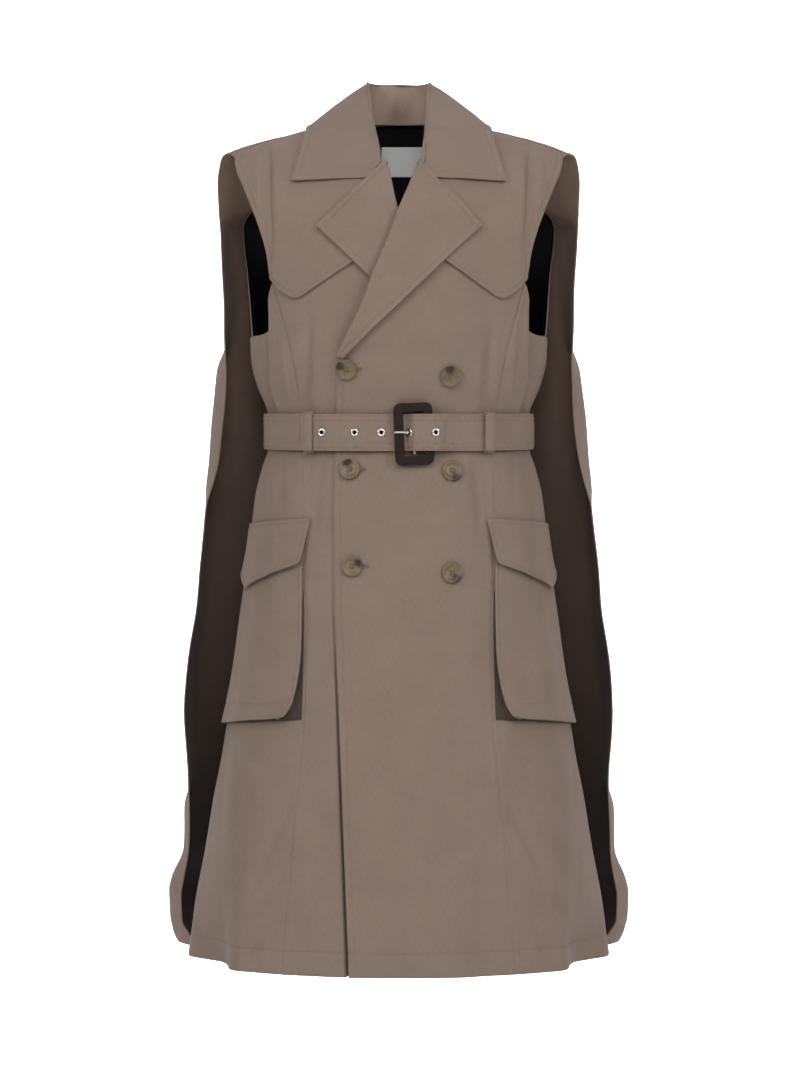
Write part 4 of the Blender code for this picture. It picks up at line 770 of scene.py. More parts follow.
class VestColours(bpy.types.PropertyGroup):
    """Colours that a maker would change."""

    gabardine: colour_property("Gabardine", "Face of the cotton gabardine", "827166")
    gabardine_dark: colour_property("Gabardine, dark yarn", "Darker yarn of the gabardine", "75655A")
    # The cape's inside is the face's cloth, drawn paler as painted light; painted shade darkens it toward the
    # hem
    cape_inside: colour_property("Cape inside", "Inside of the cape, brown", "8E7869")
    lining: colour_property("Lining", "Black viscose lining", "040405")
    thread: colour_property("Thread", "Sewing thread", "7D6C60")
    leather: colour_property("Leather", "Dark brown calf on the buckle", "1C130E")
    nickel: colour_property("Nickel", "Plated eyelets and prong", "D5D3CE")
    horn: colour_property("Horn", "Pale part of a button", "6C5C44")
    horn_dark: colour_property("Horn, dark", "Dark spot of a button", "2A1E15")
    label: colour_property("Label", "Woven satin of the label", "E4E3DF")
    paper: colour_property("Paper", "Floor and backdrop", "F4F3F1")


def sizes():
    """Return the maker's sizes."""
    return bpy.context.scene.vest_sizes


def colours():
    """Return the maker's colours."""
    return bpy.context.scene.vest_colours


# Curves and base forms

def smooth_curve(places, values):
    """Return a smooth function through the values, which never overshoots between them."""
    places = np.array(places, float)
    values = np.array(values, float)
    slopes = np.diff(values) / np.diff(places)
    before = slopes[:-1]
    after = slopes[1:]
    same = before * after > 0
    inner = np.where(same, 2 * before * after / np.where(same, before + after, 1.0), 0.0)
    tangents = np.concatenate(([slopes[0]], inner, [slopes[-1]]))

    def at(place):
        place = np.clip(place, places[0], places[-1])
        index = np.clip(np.searchsorted(places, place, "right") - 1, 0, len(places) - 2)
        span = places[index + 1] - places[index]
        part = (place - places[index]) / span
        bend = part * part * (3 - 2 * part)
        start = part * (1 - part) ** 2 * tangents[index] * span
        finish = part * part * (part - 1) * tangents[index + 1] * span
        return values[index] + (values[index + 1] - values[index]) * bend + start + finish

    return at


def column(table, name, key="height"):
    """Return one named column of a table as a smooth function of its key column."""
    rows = sorted(table, key=lambda row: getattr(row, key))
    return smooth_curve([getattr(row, key) for row in rows], [getattr(row, name) for row in rows])


half_width = column(SECTIONS, "half_width")
front_depth = column(SECTIONS, "front_depth")
back_depth = column(SECTIONS, "back_depth")
squareness = column(SECTIONS, "squareness")
armhole_front = column(ARMHOLE_FRONT, "x")
side_front_seam = column(SIDE_FRONT_SEAM, "x")
armhole_back = column(ARMHOLE_BACK, "x")
left_edge = column(LEFT_EDGE, "x")
roll_line = column(ROLL, "x")
lapel_outer = column(LAPEL_OUTER, "x")
fold_edge = column(SIDE_FOLD, "edge_x")
fold_inset = column(SIDE_FOLD, "inset")
fold_depth = column(SIDE_FOLD, "depth")
storm_low = column(STORM_EDGE, "height", "x")
strap_lift = column(STRAP, "lift", "x")
loop_lift = column(LOOP, "lift", "rise")
cape_columns = {name: column(CAPE, name) for name in Cape._fields[1:]}
collar_columns = {name: column(COLLAR, name, "along") for name in Collar._fields[1:]}


def blend(low, high, place):
    """Return 0 below low, 1 above high, with a smooth rise between."""
    part = np.clip((place - low) / (high - low), 0.0, 1.0)
    return part * part * (3 - 2 * part)


def across_zone(zone, place):
    """Return 0 before a zone, 1 after it, with a smooth rise between."""
    return blend(zone.start, zone.end, place)


def mix(first, second, part):
    """Return the value a given part of the way from the first to the second."""
    return first + (second - first) * part


def between(first, second, part):
    """Return the points a given part of the way from the first points to the second."""
    return first + (second - first) * np.asarray(part)[..., None]


def point(x, y, z):
    """Return points from their three coordinates."""
    return np.stack(np.broadcast_arrays(x, y, z), axis=-1)


def unit(vectors):
    """Return vectors at length 1."""
    return vectors / np.maximum(np.linalg.norm(vectors, axis=-1, keepdims=True), 1e-12)


def spline(points, knots, place):
    """Return the points at places on smooth curves through points set at the knots."""
    shape = np.shape(place)
    points = np.stack([np.broadcast_to(row, shape + (3,)) for row in points])
    knots = np.stack([np.broadcast_to(row, shape) for row in knots])
    last = len(points) - 1
    index = np.clip((knots <= place).sum(0) - 1, 0, last - 1)

    def pick(at):
        at = np.clip(at, 0, last)
        found = np.take_along_axis(points, at[None, ..., None], 0)[0]
        return found, np.take_along_axis(knots, at[None], 0)[0]

    def tangent(at):
        ahead, ahead_knot = pick(at + 1)
        behind, behind_knot = pick(at - 1)
        return (ahead - behind) / (ahead_knot - behind_knot)[..., None]

    first, first_knot = pick(index)
    second, second_knot = pick(index + 1)
    span = second_knot - first_knot
    part = (place - first_knot) / span
    bend = part * part * (3 - 2 * part)
    start = tangent(index) * (part * (1 - part) ** 2 * span)[..., None]
    finish = tangent(index + 1) * (part * part * (part - 1) * span)[..., None]
    return between(first, second, bend) + start + finish


def lengths(points):
    """Return the distance walked along a run of points, at each of them."""
    walked = [np.zeros(np.shape(points[0])[:-1])]
    for before, after in zip(points, points[1:]):
        walked.append(walked[-1] + np.linalg.norm(after - before, axis=-1))
    return walked


def oval(x, wide, deep, power):
    """Return the depth of a squared oval at a distance from its middle."""
    return deep * (1 - np.minimum(np.abs(x) / wide, 1.0) ** power) ** (1 / power)


def oval_side(y, wide, deep, power):
    """Return the half width of a squared oval at a depth."""
    return wide * (1 - (y / deep) ** power) ** (1 / power)


def ridge(x):
    """Return the height of the shoulder line."""
    return RIDGE_HEIGHT + RIDGE_SLOPE * (np.abs(x) - RIDGE_AT)


def shoulder_rise(drop):
    """Return how much of its full depth a panel has, a given drop below the shoulder line."""
    part = 1 - np.clip(drop / SHOULDER_FALL, 0.0, 1.0)
    return np.sqrt(1 - part ** SHOULDER_ROUNDNESS)


def front(x, z):
    """Return points on the base form of the front."""
    depth = oval(x, half_width(z), front_depth(z), squareness(z))
    return point(x, -depth * shoulder_rise(ridge(x) - z), z)


def back_top(x):
    """Return the height of the back's upper edge: the shoulder line, raised at the neck."""
    lift = np.maximum(1 - (x / NECK_HALF) ** 2, 0.0)
    return mix(ridge(np.maximum(np.abs(x), NECK_HALF)), NECK_BACK_HEIGHT, lift)


def back_turned(x, z):
    """Return points on the base form of the back, sideways distances reversed so that out is backward."""
    depth = oval(x, half_width(z), back_depth(z), squareness(z))
    start = NECK_BACK_Y * np.maximum(1 - (x / NECK_HALF) ** 2, 0.0)
    return point(-x, mix(start, np.maximum(depth, start), shoulder_rise(back_top(x) - z)), z)


def side_points(z):
    """Return the points that shape a side panel at heights, with one more beyond each of its seams."""
    wide = half_width(z)
    power = squareness(z)
    edge = np.minimum(fold_edge(z), wide * FOLD_EDGE_LIMIT)
    inset = fold_inset(z)
    start = side_front_seam(z)
    valley = front((edge + wide) / 2, z) + point(-inset, fold_depth(z), 0.0)
    near_x = oval_side(-SIDE_NEAR_Y, wide, front_depth(z), power) - NEAR_INSET * inset
    return [
        front(start - SIDE_BEFORE, z), front(start, z), front((start + edge) / 2, z), front(edge, z), valley,
        point(near_x, SIDE_NEAR_Y + NEAR_DEPTH * inset, z), point(wide, SIDE_WIDEST_Y, z),
        point(oval_side(SIDE_SEAM_Y, wide, back_depth(z), power), SIDE_SEAM_Y, z),
        point(oval_side(SIDE_BEYOND_Y, wide, back_depth(z), power), SIDE_BEYOND_Y, z),
    ]


def side_length(z):
    """Return the length round a side panel at heights."""
    return lengths(side_points(z)[1:-1])[-1]


def around(distance, z):
    """Return points on the left side panel, at distances round the body from its front seam."""
    distance, z = np.broadcast_arrays(distance, z)
    points = side_points(z)
    knots = lengths(points)
    on_side = spline(points, knots, np.clip(distance + knots[1], 0.0, knots[-1]))
    on_front = front(side_front_seam(z) + distance * FRONT_STRETCH, z)
    return np.where((distance < 0)[..., None], on_front, on_side)


def outward(surface, first, second):
    """Return the outward direction of a surface, from points close by."""
    across = surface(first + NEARBY, second) - surface(first - NEARBY, second)
    upward = surface(first, second + NEARBY) - surface(first, second - NEARBY)
    return unit(np.cross(across, upward))


def raised(surface, first, second, lift):
    """Return points of a surface moved out by a lift."""
    return surface(first, second) + outward(surface, first, second) * np.asarray(lift)[..., None]


def left_lift(x, z):
    """Return how far the lapped left front stands off the base form."""
    lapped = OVERLAP_LIFT * (1 - across_zone(LAP_TOP, z)) * (1 - across_zone(LAP_SIDE, x))
    crossing = across_zone(CROSSING_FOOT, z) * (1 - across_zone(CROSSING_TOP, z))
    return lapped + (CROSSING_LIFT - OVERLAP_LIFT) * crossing * (1 - across_zone(CROSSING_SIDE, x))


def no_lift(x, z):
    """Return no lift, for what lies on the right front."""
    return np.zeros(np.shape(x))


def right_roll(z):
    """Return the distances of the right lapel's roll line from the middle."""
    return roll_line(z) - RIGHT_ROLL_SHIFT * blend(RIGHT_ROLL_LOW, LAPEL_GORGE, z)


def hung(points):
    """Return points of the skirt moved by the uneven fall of its hem, which is shorter in front."""
    rise = HEM_FRONT_RISE * (1 - across_zone(HEM_SIDE, points[..., 1]))
    moved = points.copy()
    moved[..., 2] += rise * (1 - blend(HEM, HEM_FADE, points[..., 2]))
    return moved


# Panels, each from two shares that run from 0 to 1: across, counter-clockwise seen from above, and up

def below_underarm(share):
    """Return whether rows at shares of a front or back lie at or below the underarm."""
    return share < LOW_SHARE + ROW_SLACK


def level_row(share):
    """Return the heights of level rows at shares of the way from the hem to the underarm."""
    return np.interp(share, ROW_SHARES, ROW_HEIGHTS)


def panel_row(share, low, top):
    """Return the heights at shares of a panel's rows: level to the underarm, then easing to its top edge."""
    climb = np.sin(np.clip((share - LOW_SHARE) / (1 - LOW_SHARE), 0.0, 1.0) * math.pi / 2)
    return np.where(below_underarm(share), level_row(share / LOW_SHARE), mix(low, top, climb))


def seam_row(z):
    """Return the heights on the side-front seam of rows level elsewhere; they climb to the armhole."""
    return z + (SEAM_TOP - UNDERARM) * blend(SEAM_CLIMB, UNDERARM, z)


def front_places(across, up, edge, roll):
    """Return the sideways places and heights of the points of a front."""
    inner_z = panel_row(up, UNDERARM, ridge(NECK_HALF))
    outer_z = panel_row(up, SEAM_TOP, ridge(SHOULDER_OUTER))
    inner_x = np.where(inner_z > ROLL[0].height, roll(inner_z), edge(inner_z)) + SEAM
    seam_z = seam_row(outer_z)
    low = below_underarm(up)
    at_seam = side_front_seam(seam_z - EDGE_DROP) - SEAM_CLOSE
    outer_x = np.where(low, at_seam, armhole_front(outer_z) - SEAM / 2)
    outer_z = np.where(low, seam_z, outer_z)
    return mix(inner_x, outer_x, across), mix(inner_z, outer_z, across)


def left_front(across, up):
    """Return points on the outer face of the lapped left front."""
    x, z = front_places(across, up, left_edge, roll_line)
    return hung(raised(front, x, z - EDGE_DROP, left_lift(x, z)))


def right_front(across, up):
    """Return points on the outer face of the right front, seen mirrored."""
    x, z = front_places(across, up, lambda height: np.full(np.shape(height), UNDERLAP), right_roll)
    return hung(front(x, z - EDGE_DROP))


def side_places(across, up):
    """Return distances round the body and heights of the points of a side panel, rounded at the armhole."""
    level = level_row(up)
    z = mix(level, seam_row(level), np.clip(1 - across / ARMHOLE_CORNER, 0.0, 1.0) ** 2)
    return mix(SEAM_CLOSE, side_length(z) - SEAM_CLOSE, across), z


def side_panel(across, up):
    """Return points on the outer face of a side panel."""
    distance, z = side_places(across, up)
    return hung(around(distance, z - EDGE_DROP))


def back_panel(across, up, lift=0.0, hem=HEM, top_drop=EDGE_DROP, middle=0.0):
    """Return points on the outer face of the back, from the left side to the right, apart in the middle."""
    sign = np.where(across <= 0.5, -1, 1)
    share = np.abs(2 * across - 1)
    outer_z = np.maximum(panel_row(up, UNDERARM, ridge(BACK_OUTER)), hem)
    seam_z = outer_z - top_drop
    seam_x = oval_side(SIDE_SEAM_Y + SEAM_CLOSE, half_width(seam_z), back_depth(seam_z), squareness(seam_z))
    outer_x = np.where(below_underarm(up), seam_x, armhole_back(outer_z))
    x = sign * mix(middle, outer_x, np.sin(share * math.pi / 2))
    z = np.maximum(panel_row(up, UNDERARM, back_top(x)), hem) - top_drop
    return hung(raised(back_turned, x, z, np.full(np.shape(x), lift)))


def half_back(across, up):
    """Return points on the outer face of the back's left half, from the side seam to the middle seam."""
    return back_panel(across / 2, up, middle=SEAM_CLOSE)


def lining_panel(across, up):
    """Return points on the outward face of the lining, just inside the back, down to the waist."""
    low = ROW_SHARES[2] * LOW_SHARE
    share = mix(LINING_SHARE.start, LINING_SHARE.end, across)
    return back_panel(share, mix(low, 1.0, up), LINING_LIFT, LINING_HEM, LINING_DROP)


def label_patch(across, up):
    """Return points on the outward face of the neck label, on the lining."""
    x = LABEL_X + LABEL_WIDE * (0.5 - across)
    z = mix(LABEL_LOW, LABEL_TOP, up)
    return raised(back_turned, -x, z, np.full(np.shape(z), LABEL_LIFT))


def cape_section(share, z):
    """Return points of the cape at heights, a share of the way from its middle to its free edge."""
    at = {name: reader(z) for name, reader in cape_columns.items()}
    blade = point(at["blade_x"], at["blade_y"], z)
    points = [
        blade * (-1, 1, 1), point(0.0, at["back_y"], z), blade,
        point(at["side_x"], at["side_y"], z), point(at["edge_x"], at["edge_y"], z),
    ]
    found = spline(points, (-CAPE_KNOTS[1],) + CAPE_KNOTS, share)
    wave = sum(flute.wave * np.exp(-((share - flute.place) / flute.spread) ** 2) for flute in FLUTES)
    fall = np.maximum((z - FLUTE_TOP) / (CAPE_HEM - FLUTE_TOP), 0.0)
    return found + point(0.0, wave * fall, 0.0)


def seam_height(x):
    """Return the heights of the shoulder seam, just in front of the shoulder line, lower at its outer end."""
    out = (x - NECK_HALF) / (CAPE_SEAM_OUTER - NECK_HALF)
    return ridge(x) - STORM_SEAM_DROP - STORM_SEAM_DIP * out ** STORM_SEAM_SHARPNESS


def cape_neck(share, part):
    """Return points of the cape's upper part behind the neck."""
    x = NECK_HALF * np.sin(share / NECK_SHARE * math.pi / 2)
    more = CAPE_NECK_ROOM * across_zone(CAPE_NECK_GROW, share / NECK_SHARE)
    points = [raised(back_turned, -x, back_top(x) - step.drop, step.gap + more) for step in CAPE_NECK_STEPS]
    return cape_down(points, share, part)


def cape_shoulder(share, part):
    """Return points of the cape's upper part on a shoulder: seam, over the shoulder line, down the back."""
    out = (share - NECK_SHARE) / (1 - NECK_SHARE)
    x = mix(NECK_HALF, CAPE_SEAM_OUTER, out)
    seam_z = seam_height(x) + CAPE_SEAM_GAP
    body_x = np.minimum(x, CAPE_BODY_X)
    more = CAPE_NECK_ROOM * (1 - across_zone(CAPE_NECK_FADE, out))
    tip = out ** CAPE_TIP_SHARPNESS
    wide = x + CAPE_OVERHANG[0] * tip
    grows = across_zone(CORNER_START, out)[..., None]
    corner = grows * np.array(CORNER_MOVE)
    points = [
        raised(front, x, seam_z, FLAP_LIFT + CAPE_SEAM_GAP + more) + grows * np.array(CORNER_SEAM),
        raised(front, x, mix(seam_z, ridge(x), CAPE_RIDGE_SHARE), CAPE_RIDGE_GAP + more) + corner,
        point(wide, 0.0, ridge(wide) + CAPE_RIDGE_GAP + more - CAPE_TIP_DROP * tip) + corner * CORNER_TOP,
    ]
    for step, over in zip(CAPE_SHOULDER_STEPS, CAPE_OVERHANG[1:]):
        wide = x + over * tip
        on_back = raised(back_turned, -body_x, ridge(body_x) - step.drop, step.gap + more)
        forward = mix(1.0, CAPE_EDGE_FORWARD, tip)
        points.append(point(wide, on_back[..., 1] * forward, on_back[..., 2] + ridge(wide) - ridge(body_x)))
    return cape_down(points, share, part)


def cape_down(points, share, part):
    """Return points on curves from the cape's seam to its first level section."""
    level = np.full(np.shape(share), CAPE[0].height)
    below = np.full(np.shape(share), CAPE[1].height)
    points = points + [cape_section(share, level), cape_section(share, below)]
    knots = lengths(points)
    return spline(points, knots, part * knots[-2])


def cape(across, up):
    """Return points on the outer face of the cape, from its left edge to its right edge."""
    across, up = np.broadcast_arrays(across, up)
    share = np.abs(2 * across - 1)
    part = (1 - up) / (1 - CAPE_TURN)
    found = np.empty(share.shape + (3,))
    hanging = up < CAPE_TURN
    by_neck = ~hanging & (share < NECK_SHARE)
    on_shoulder = ~hanging & (share >= NECK_SHARE)
    found[hanging] = cape_section(share[hanging], mix(CAPE_HEM, CAPE[0].height, up[hanging] / CAPE_TURN))
    found[by_neck] = cape_neck(share[by_neck], part[by_neck])
    found[on_shoulder] = cape_shoulder(share[on_shoulder], part[on_shoulder])
    found[..., 0] *= np.where(across < 0.5, 1.0, -1.0)
    return found


def storm_flap(across, up, under):
    """Return points on the outer face of a storm flap lying on a front that stands off by the given lift."""
    low_x = mix(STORM_EDGE[0].x, STORM_EDGE[-1].x, across)
    top_x = mix(STORM_INNER_TOP, CAPE_SEAM_OUTER, across)
    top_z = np.minimum(seam_height(top_x) + STORM_TUCK, ridge(top_x) - STORM_TUCK_ROOM)
    rise = 1 - (1 - up) ** STORM_EASE
    z = mix(storm_low(low_x), top_z, rise)
    edge = armhole_front(mix(STORM_EDGE[-1].height, STORM_SEAM_OUTER, rise))
    straight = mix(STORM_EDGE[-1].x, CAPE_SEAM_OUTER, rise)
    bow = STORM_BOW * np.sin(math.pi * rise) * (1 - across) ** 2
    x = mix(low_x, top_x, rise) + (edge - straight) * across - bow
    flare = STORM_FLARE_LOW * (1 - up) ** 3 + STORM_FLARE_TOP * up ** 2 - STORM_TUCK_DIP * up ** 10
    return raised(front, x, z - STORM_DROP, FLAP_LIFT + flare + under(x, z))


def left_lapel(across, up):
    """Return points on the outer face of the left lapel, which lies on top."""
    return lapel(across, up, left_lift, roll_line)


def right_lapel(across, up):
    """Return points on the outer face of the right lapel, seen mirrored, without its hidden foot."""
    return lapel(across, mix(LAPEL_HIDDEN, 1.0, up), no_lift, right_roll)


def lapel(across, share, under, roll):
    """Return points on the outer face of a lapel, from its roll line to its outer edge."""
    roll_z = mix(LAPEL_FOOT, LAPEL_GORGE, share)
    outer_z = mix(LAPEL_OUTER[0].height, LAPEL_OUTER[-1].height, share)
    outer_x = lapel_outer(outer_z) + LAPEL_FOOT_EASE * (1 - share)
    x = mix(roll(roll_z) - SEAM, outer_x, across)
    z = mix(roll_z, outer_z, across)
    return raised(front, x, z, LAPEL_LIFT + LAPEL_CURL * across ** 3 + under(x, z))


def collar_line(along, name):
    """Return points of one of the collar's three lines, on the left side."""
    return point(*[collar_columns[name + axis](along) for axis in ("_x", "_y", "_z")])


def cleared(points, along, share):
    """Return points of the collar moved forward to clear what it lies on, below the shoulder line."""
    x, y, z = points[..., 0], points[..., 1], points[..., 2]
    height = z - ridge(x)
    ground = front(x, np.minimum(z, ridge(x) - COLLAR_GROUND_DROP))[..., 1]
    clear = mix(COLLAR_CLEAR_OUTER, COLLAR_CLEAR_INNER, share)
    clear = clear * (1 + COLLAR_EXTRA_CLEAR * (1 - share) * (1 - across_zone(COLLAR_HIGH, -height)))
    needed = across_zone(COLLAR_FRONT, along) * (1 - across_zone(COLLAR_ABOVE, height))
    return point(x, mix(y, np.minimum(y, ground - clear), needed), z)


def sided(points, across, along, share):
    """Return points of the collar on their own side; the roll's front ends lie a little to the left."""
    shift = COLLAR_SHIFT * share * across_zone(COLLAR_SHIFTED, along)
    return points * point(np.where(across < 0.5, 1.0, -1.0), 1.0, 1.0) + point(shift, 0.0, 0.0)


def collar_inward(roll):
    """Return level directions from the collar's roll toward the middle of the neck."""
    return unit(point(-roll[..., 0], STAND_CENTRE_Y - roll[..., 1], 0.0))


def collar_fall(across, up):
    """Return points on the outer face of the collar's fall, from its left end to its right end."""
    along = np.abs(2 * across - 1)
    roll = collar_line(along, "roll") - point(0.0, 0.0, ROLL_RADIUS)
    points = between(collar_line(along, "edge"), roll, up)
    swell = FALL_BULGE * np.sin(math.pi * up) * (1 - along)
    sideways = np.where(along > BULGE_SIDE_START, BULGE_SIDE, 0.0)
    points = points + point(sideways * swell, BULGE_BACK * swell, BULGE_UP * swell)
    on_shoulder = across_zone(SHOULDER_SWELL_START, along) * (1 - across_zone(SHOULDER_SWELL_END, along))
    points[..., 2] += SHOULDER_SWELL * np.sin(math.pi * up) * on_shoulder
    points[..., 2] -= NOTCH_DROP * up * (1 - across_zone(NOTCH_TURN, up)) * across_zone(NOTCH_END, along)
    return sided(cleared(points, along, up), across, along, up)


def collar_roll(across, turn):
    """Return points where the fall turns over the stand, at shares of a half turn above its straight part."""
    along = np.abs(2 * across - 1)
    start = collar_fall(across, np.ones(np.shape(across)))
    inward = sided(collar_inward(collar_line(along, "roll")), across, along, 0.0)
    angle = turn * math.pi
    reach = ROLL_RADIUS * (1 - np.cos(angle))
    return start + inward * reach[..., None] + point(0.0, 0.0, ROLL_RADIUS * np.sin(angle))


def collar_stand(across, up):
    """Return points on the outer face of the collar's stand; below its seam it hangs inside the lining."""
    along = np.abs(2 * across - 1) * STAND_END
    roll = collar_line(along, "roll")
    inward = collar_inward(roll)
    top = roll - point(0.0, 0.0, STAND_DROP) + inward * STAND_INSET
    hang = STAND_HANG_IN * (1 - blend(-STAND_HANG, STAND_HANG, up))
    points = between(collar_line(along, "neck"), top, up) + inward * hang[..., None]
    return sided(points, across, along, np.maximum(up, 0.0))


def belt_oval(turn, lift):
    """Return level points of the belt's oval at angles from the front, moved out by a lift."""
    sine = np.sin(turn)
    cosine = np.cos(turn)
    depth = np.where(cosine > 0, BELT_FRONT, BELT_BACK)
    power = 2 / BELT_SQUARE
    x = np.sign(sine) * np.abs(sine) ** power * BELT_SIDE
    y = -np.sign(cosine) * np.abs(cosine) ** power * depth
    out = unit(point(x / BELT_SIDE ** 2, y / depth ** 2, 0.0))
    return point(x, y, BELT_HEIGHT + BELT_DIP * np.maximum(cosine, 0.0)) + out * np.asarray(lift)[..., None]


def belt_turn(x):
    """Return the angles at which the belt's oval passes distances from the middle, at the front."""
    return np.sign(x) * np.arcsin((np.abs(x) / BELT_SIDE) ** (BELT_SQUARE / 2))


def belt(across, up):
    """Return points of the belt, from its buckle end round the back to its strap end."""
    place = across * BELT_STOPS[-1].columns
    x = np.interp(place, [stop.columns for stop in BELT_STOPS], [stop.x for stop in BELT_STOPS])
    round_back = place <= BELT_STOPS[1].columns
    part = place / BELT_STOPS[1].columns
    back_turn = mix(belt_turn(BELT_STOPS[0].x), belt_turn(BELT_STOPS[1].x) - 2 * math.pi, part)
    turn = np.where(round_back, back_turn, belt_turn(x))
    lift = np.where(round_back, 0.0, strap_lift(x))
    return belt_oval(turn, lift) + point(0.0, 0.0, BELT_HALF * (1 - 2 * up))


def belt_loop(across, up):
    """Return points on the outer face of the left belt loop, its rows closest where it turns."""
    rise = LOOP[-1].rise * np.sin((up - 0.5) * math.pi)
    x = LOOP_X + LOOP_HALF * LOOP_SLIM * (2 * across - 1)
    height = belt_oval(belt_turn(x), np.zeros(np.shape(x)))[..., 2] + LOOP_SHORT * rise
    reach = loop_lift(rise)
    over = belt_oval(belt_turn(x), reach - LOOP[4].lift + LOOP_OVER + LOOP_RAISE)
    over[..., 2] = height
    return between(raised(front, x, height, reach), over, blend(LOOP[0].lift, LOOP[3].lift, reach))


def pocket_height(across, up):
    """Return the heights of points of a pocket; its bottom falls toward the back."""
    return mix(mix(POCKET_BOTTOM_INNER, POCKET_BOTTOM_OUTER, across), POCKET_TOP, up)


def pocket_bag(across, up, drop=0.0):
    """Return points on the outer face of a pocket's front wall, or a drop below it."""
    z = pocket_height(across, up)
    below = (POCKET_CORNER_HEIGHT - pocket_height(0.0, up)) / (POCKET_CORNER_HEIGHT - POCKET_BOTTOM_INNER)
    start = POCKET_INNER + POCKET_CORNER_IN * (1 - np.sqrt(1 - np.clip(below, 0.0, 1.0) ** 2))
    distance = mix(start, side_length(z) - POCKET_MARGIN, across)
    low = mix(POCKET_LIFT_INNER, POCKET_LIFT_OUTER, across_zone(LIFT_SIDE, across))
    lift = mix(low, POCKET_LIFT_TOP, up) + POCKET_LIFT_EDGE * (1 - across) ** 3 * (1 - up) ** 2
    return raised(around, distance, z, lift - drop)


def pocket_gusset(across, up):
    """Return points on the gusset: from the panel up to the front wall, down the inner side and below."""
    on_side = across < GUSSET_TURN
    rim_share = np.where(on_side, 0.0, (across - GUSSET_TURN) / (1 - GUSSET_TURN))
    rim_up = np.where(on_side, GUSSET_TOP * (1 - across / GUSSET_TURN), 0.0)
    z = pocket_height(rim_share, rim_up)
    base = mix(POCKET_INNER, side_length(z) - POCKET_MARGIN, rim_share)
    lift = np.full(np.shape(z), GUSSET_FOOT)
    pleat = between(raised(around, base, z, lift), pocket_bag(rim_share, rim_up, GUSSET_DROP), up)
    inside = raised(around, base + GUSSET_PLEAT_REACH, np.maximum(z, GUSSET_PLEAT_LOW), lift)
    return between(pleat, inside, GUSSET_PLEAT * np.sin(math.pi * up))


def pocket_flap(across, up):
    """Return points on the outer face of a pocket flap."""
    low_z = np.interp(across, (0.0, FLAP_TIP_SHARE, 1.0), (FLAP_LOW_INNER, FLAP_LOW_TIP, FLAP_LOW_OUTER))
    z = mix(low_z, mix(FLAP_TOP_INNER, FLAP_TOP_OUTER, across), up)
    distance = mix(mix(FLAP_INNER_LOW, FLAP_INNER, up), side_length(z) - FLAP_OUTER_MARGIN, across)
    low = mix(FLAP_LIFT_INNER, FLAP_LIFT_OUTER, across_zone(LIFT_SIDE, across))
    return raised(around, distance, z, mix(low, FLAP_LIFT_TOP, up ** FLAP_EASE))


# Detail in the cloth

def crease_lift(name, x, z):
    """Return how far the creases of a panel move its points out."""
    lift = np.zeros(np.shape(x))
    for crease in CREASES.get(name, ()):
        run_x = crease.high_x - crease.low_x
        run_z = crease.high_z - crease.low_z
        length = math.hypot(run_x, run_z)
        part = ((x - crease.low_x) * run_x + (z - crease.low_z) * run_z) / length ** 2
        aside = ((x - crease.low_x) * run_z - (z - crease.low_z) * run_x) / length
        aside = aside - crease.bow * np.sin(math.pi * np.clip(part, 0.0, 1.0))
        fade = across_zone(CREASE_STARTS, part) * (1 - across_zone(CREASE_ENDS, part))
        lift += crease.depth * fade * np.exp(-(aside / crease.width) ** 2)
    return lift


def slow_waves(x, z):
    """Return the slow unevenness of soft cloth."""
    lift = np.zeros(np.shape(x))
    for wave in WAVES:
        lift += wave.height * np.sin(2 * math.pi * (x / wave.sideways + z / wave.upward) + wave.phase)
    return lift


def walked_rows(points):
    """Return distances along each row of a grid from its first column."""
    steps = np.linalg.norm(np.diff(points, axis=1), axis=-1)
    return np.concatenate((np.zeros((len(points), 1)), np.cumsum(steps, axis=1)), axis=1)


def from_edge(grid, edge):
    """Return a grid turned so that the named edge is its first column."""
    if edge == "left":
        return grid
    if edge == "right":
        return grid[:, ::-1]
    if edge == "bottom":
        return grid.swapaxes(0, 1)
    return grid[::-1].swapaxes(0, 1)


def to_edge(grid, edge):
    """Return a grid that from_edge turned, as it was."""
    if edge == "top":
        return grid.swapaxes(0, 1)[::-1]
    return from_edge(grid, edge)


def facing(points):
    """Return the outward directions of a grid of points."""
    across = np.gradient(points, axis=1)
    upward = np.gradient(points, axis=0)
    return unit(np.cross(across, upward))


def stitched_lift(name, points):
    """Return how far a panel's rows of stitches draw its cloth in, with the puckers they leave."""
    lift = np.zeros(points.shape[:2])
    for rows in TOPSTITCH.values():
        for row in rows:
            if row.panel != name:
                continue
            turned = from_edge(points, row.edge)
            inward = walked_rows(turned)
            along = walked_rows(turned[:, :1].swapaxes(0, 1))[0][:, None]
            groove = np.exp(-((inward - row.distance) / GROOVE_WIDTH) ** 2)
            near = np.exp(-((inward - row.distance) / PUCKER_REACH) ** 2)
            ripple = sum(p.height * np.sin(2 * math.pi * along / p.length + p.phase) for p in PUCKERS)
            lift += to_edge(near * ripple - GROOVE_DEPTH * groove, row.edge)
    return lift


def by_edges(points, edges, shape):
    """Return the sum of a lift that depends on the distance from each of a panel's edges."""
    lift = np.zeros(points.shape[:2])
    for edge in edges:
        lift += to_edge(shape(walked_rows(from_edge(points, edge))), edge)
    return lift


def rolled_edges(points, edges):
    """Return how far the turned edges of a panel fall away to their rim."""
    return by_edges(points, edges, lambda inward: -EDGE_ROLL_DEPTH * np.exp(-(inward / EDGE_ROLL) ** 2))


def curled_edges(points, edges, height):
    """Return how far the free edges of a panel stand up from the cloth under them."""
    return by_edges(points, edges, lambda inward: height * np.exp(-inward / CURL_REACH))


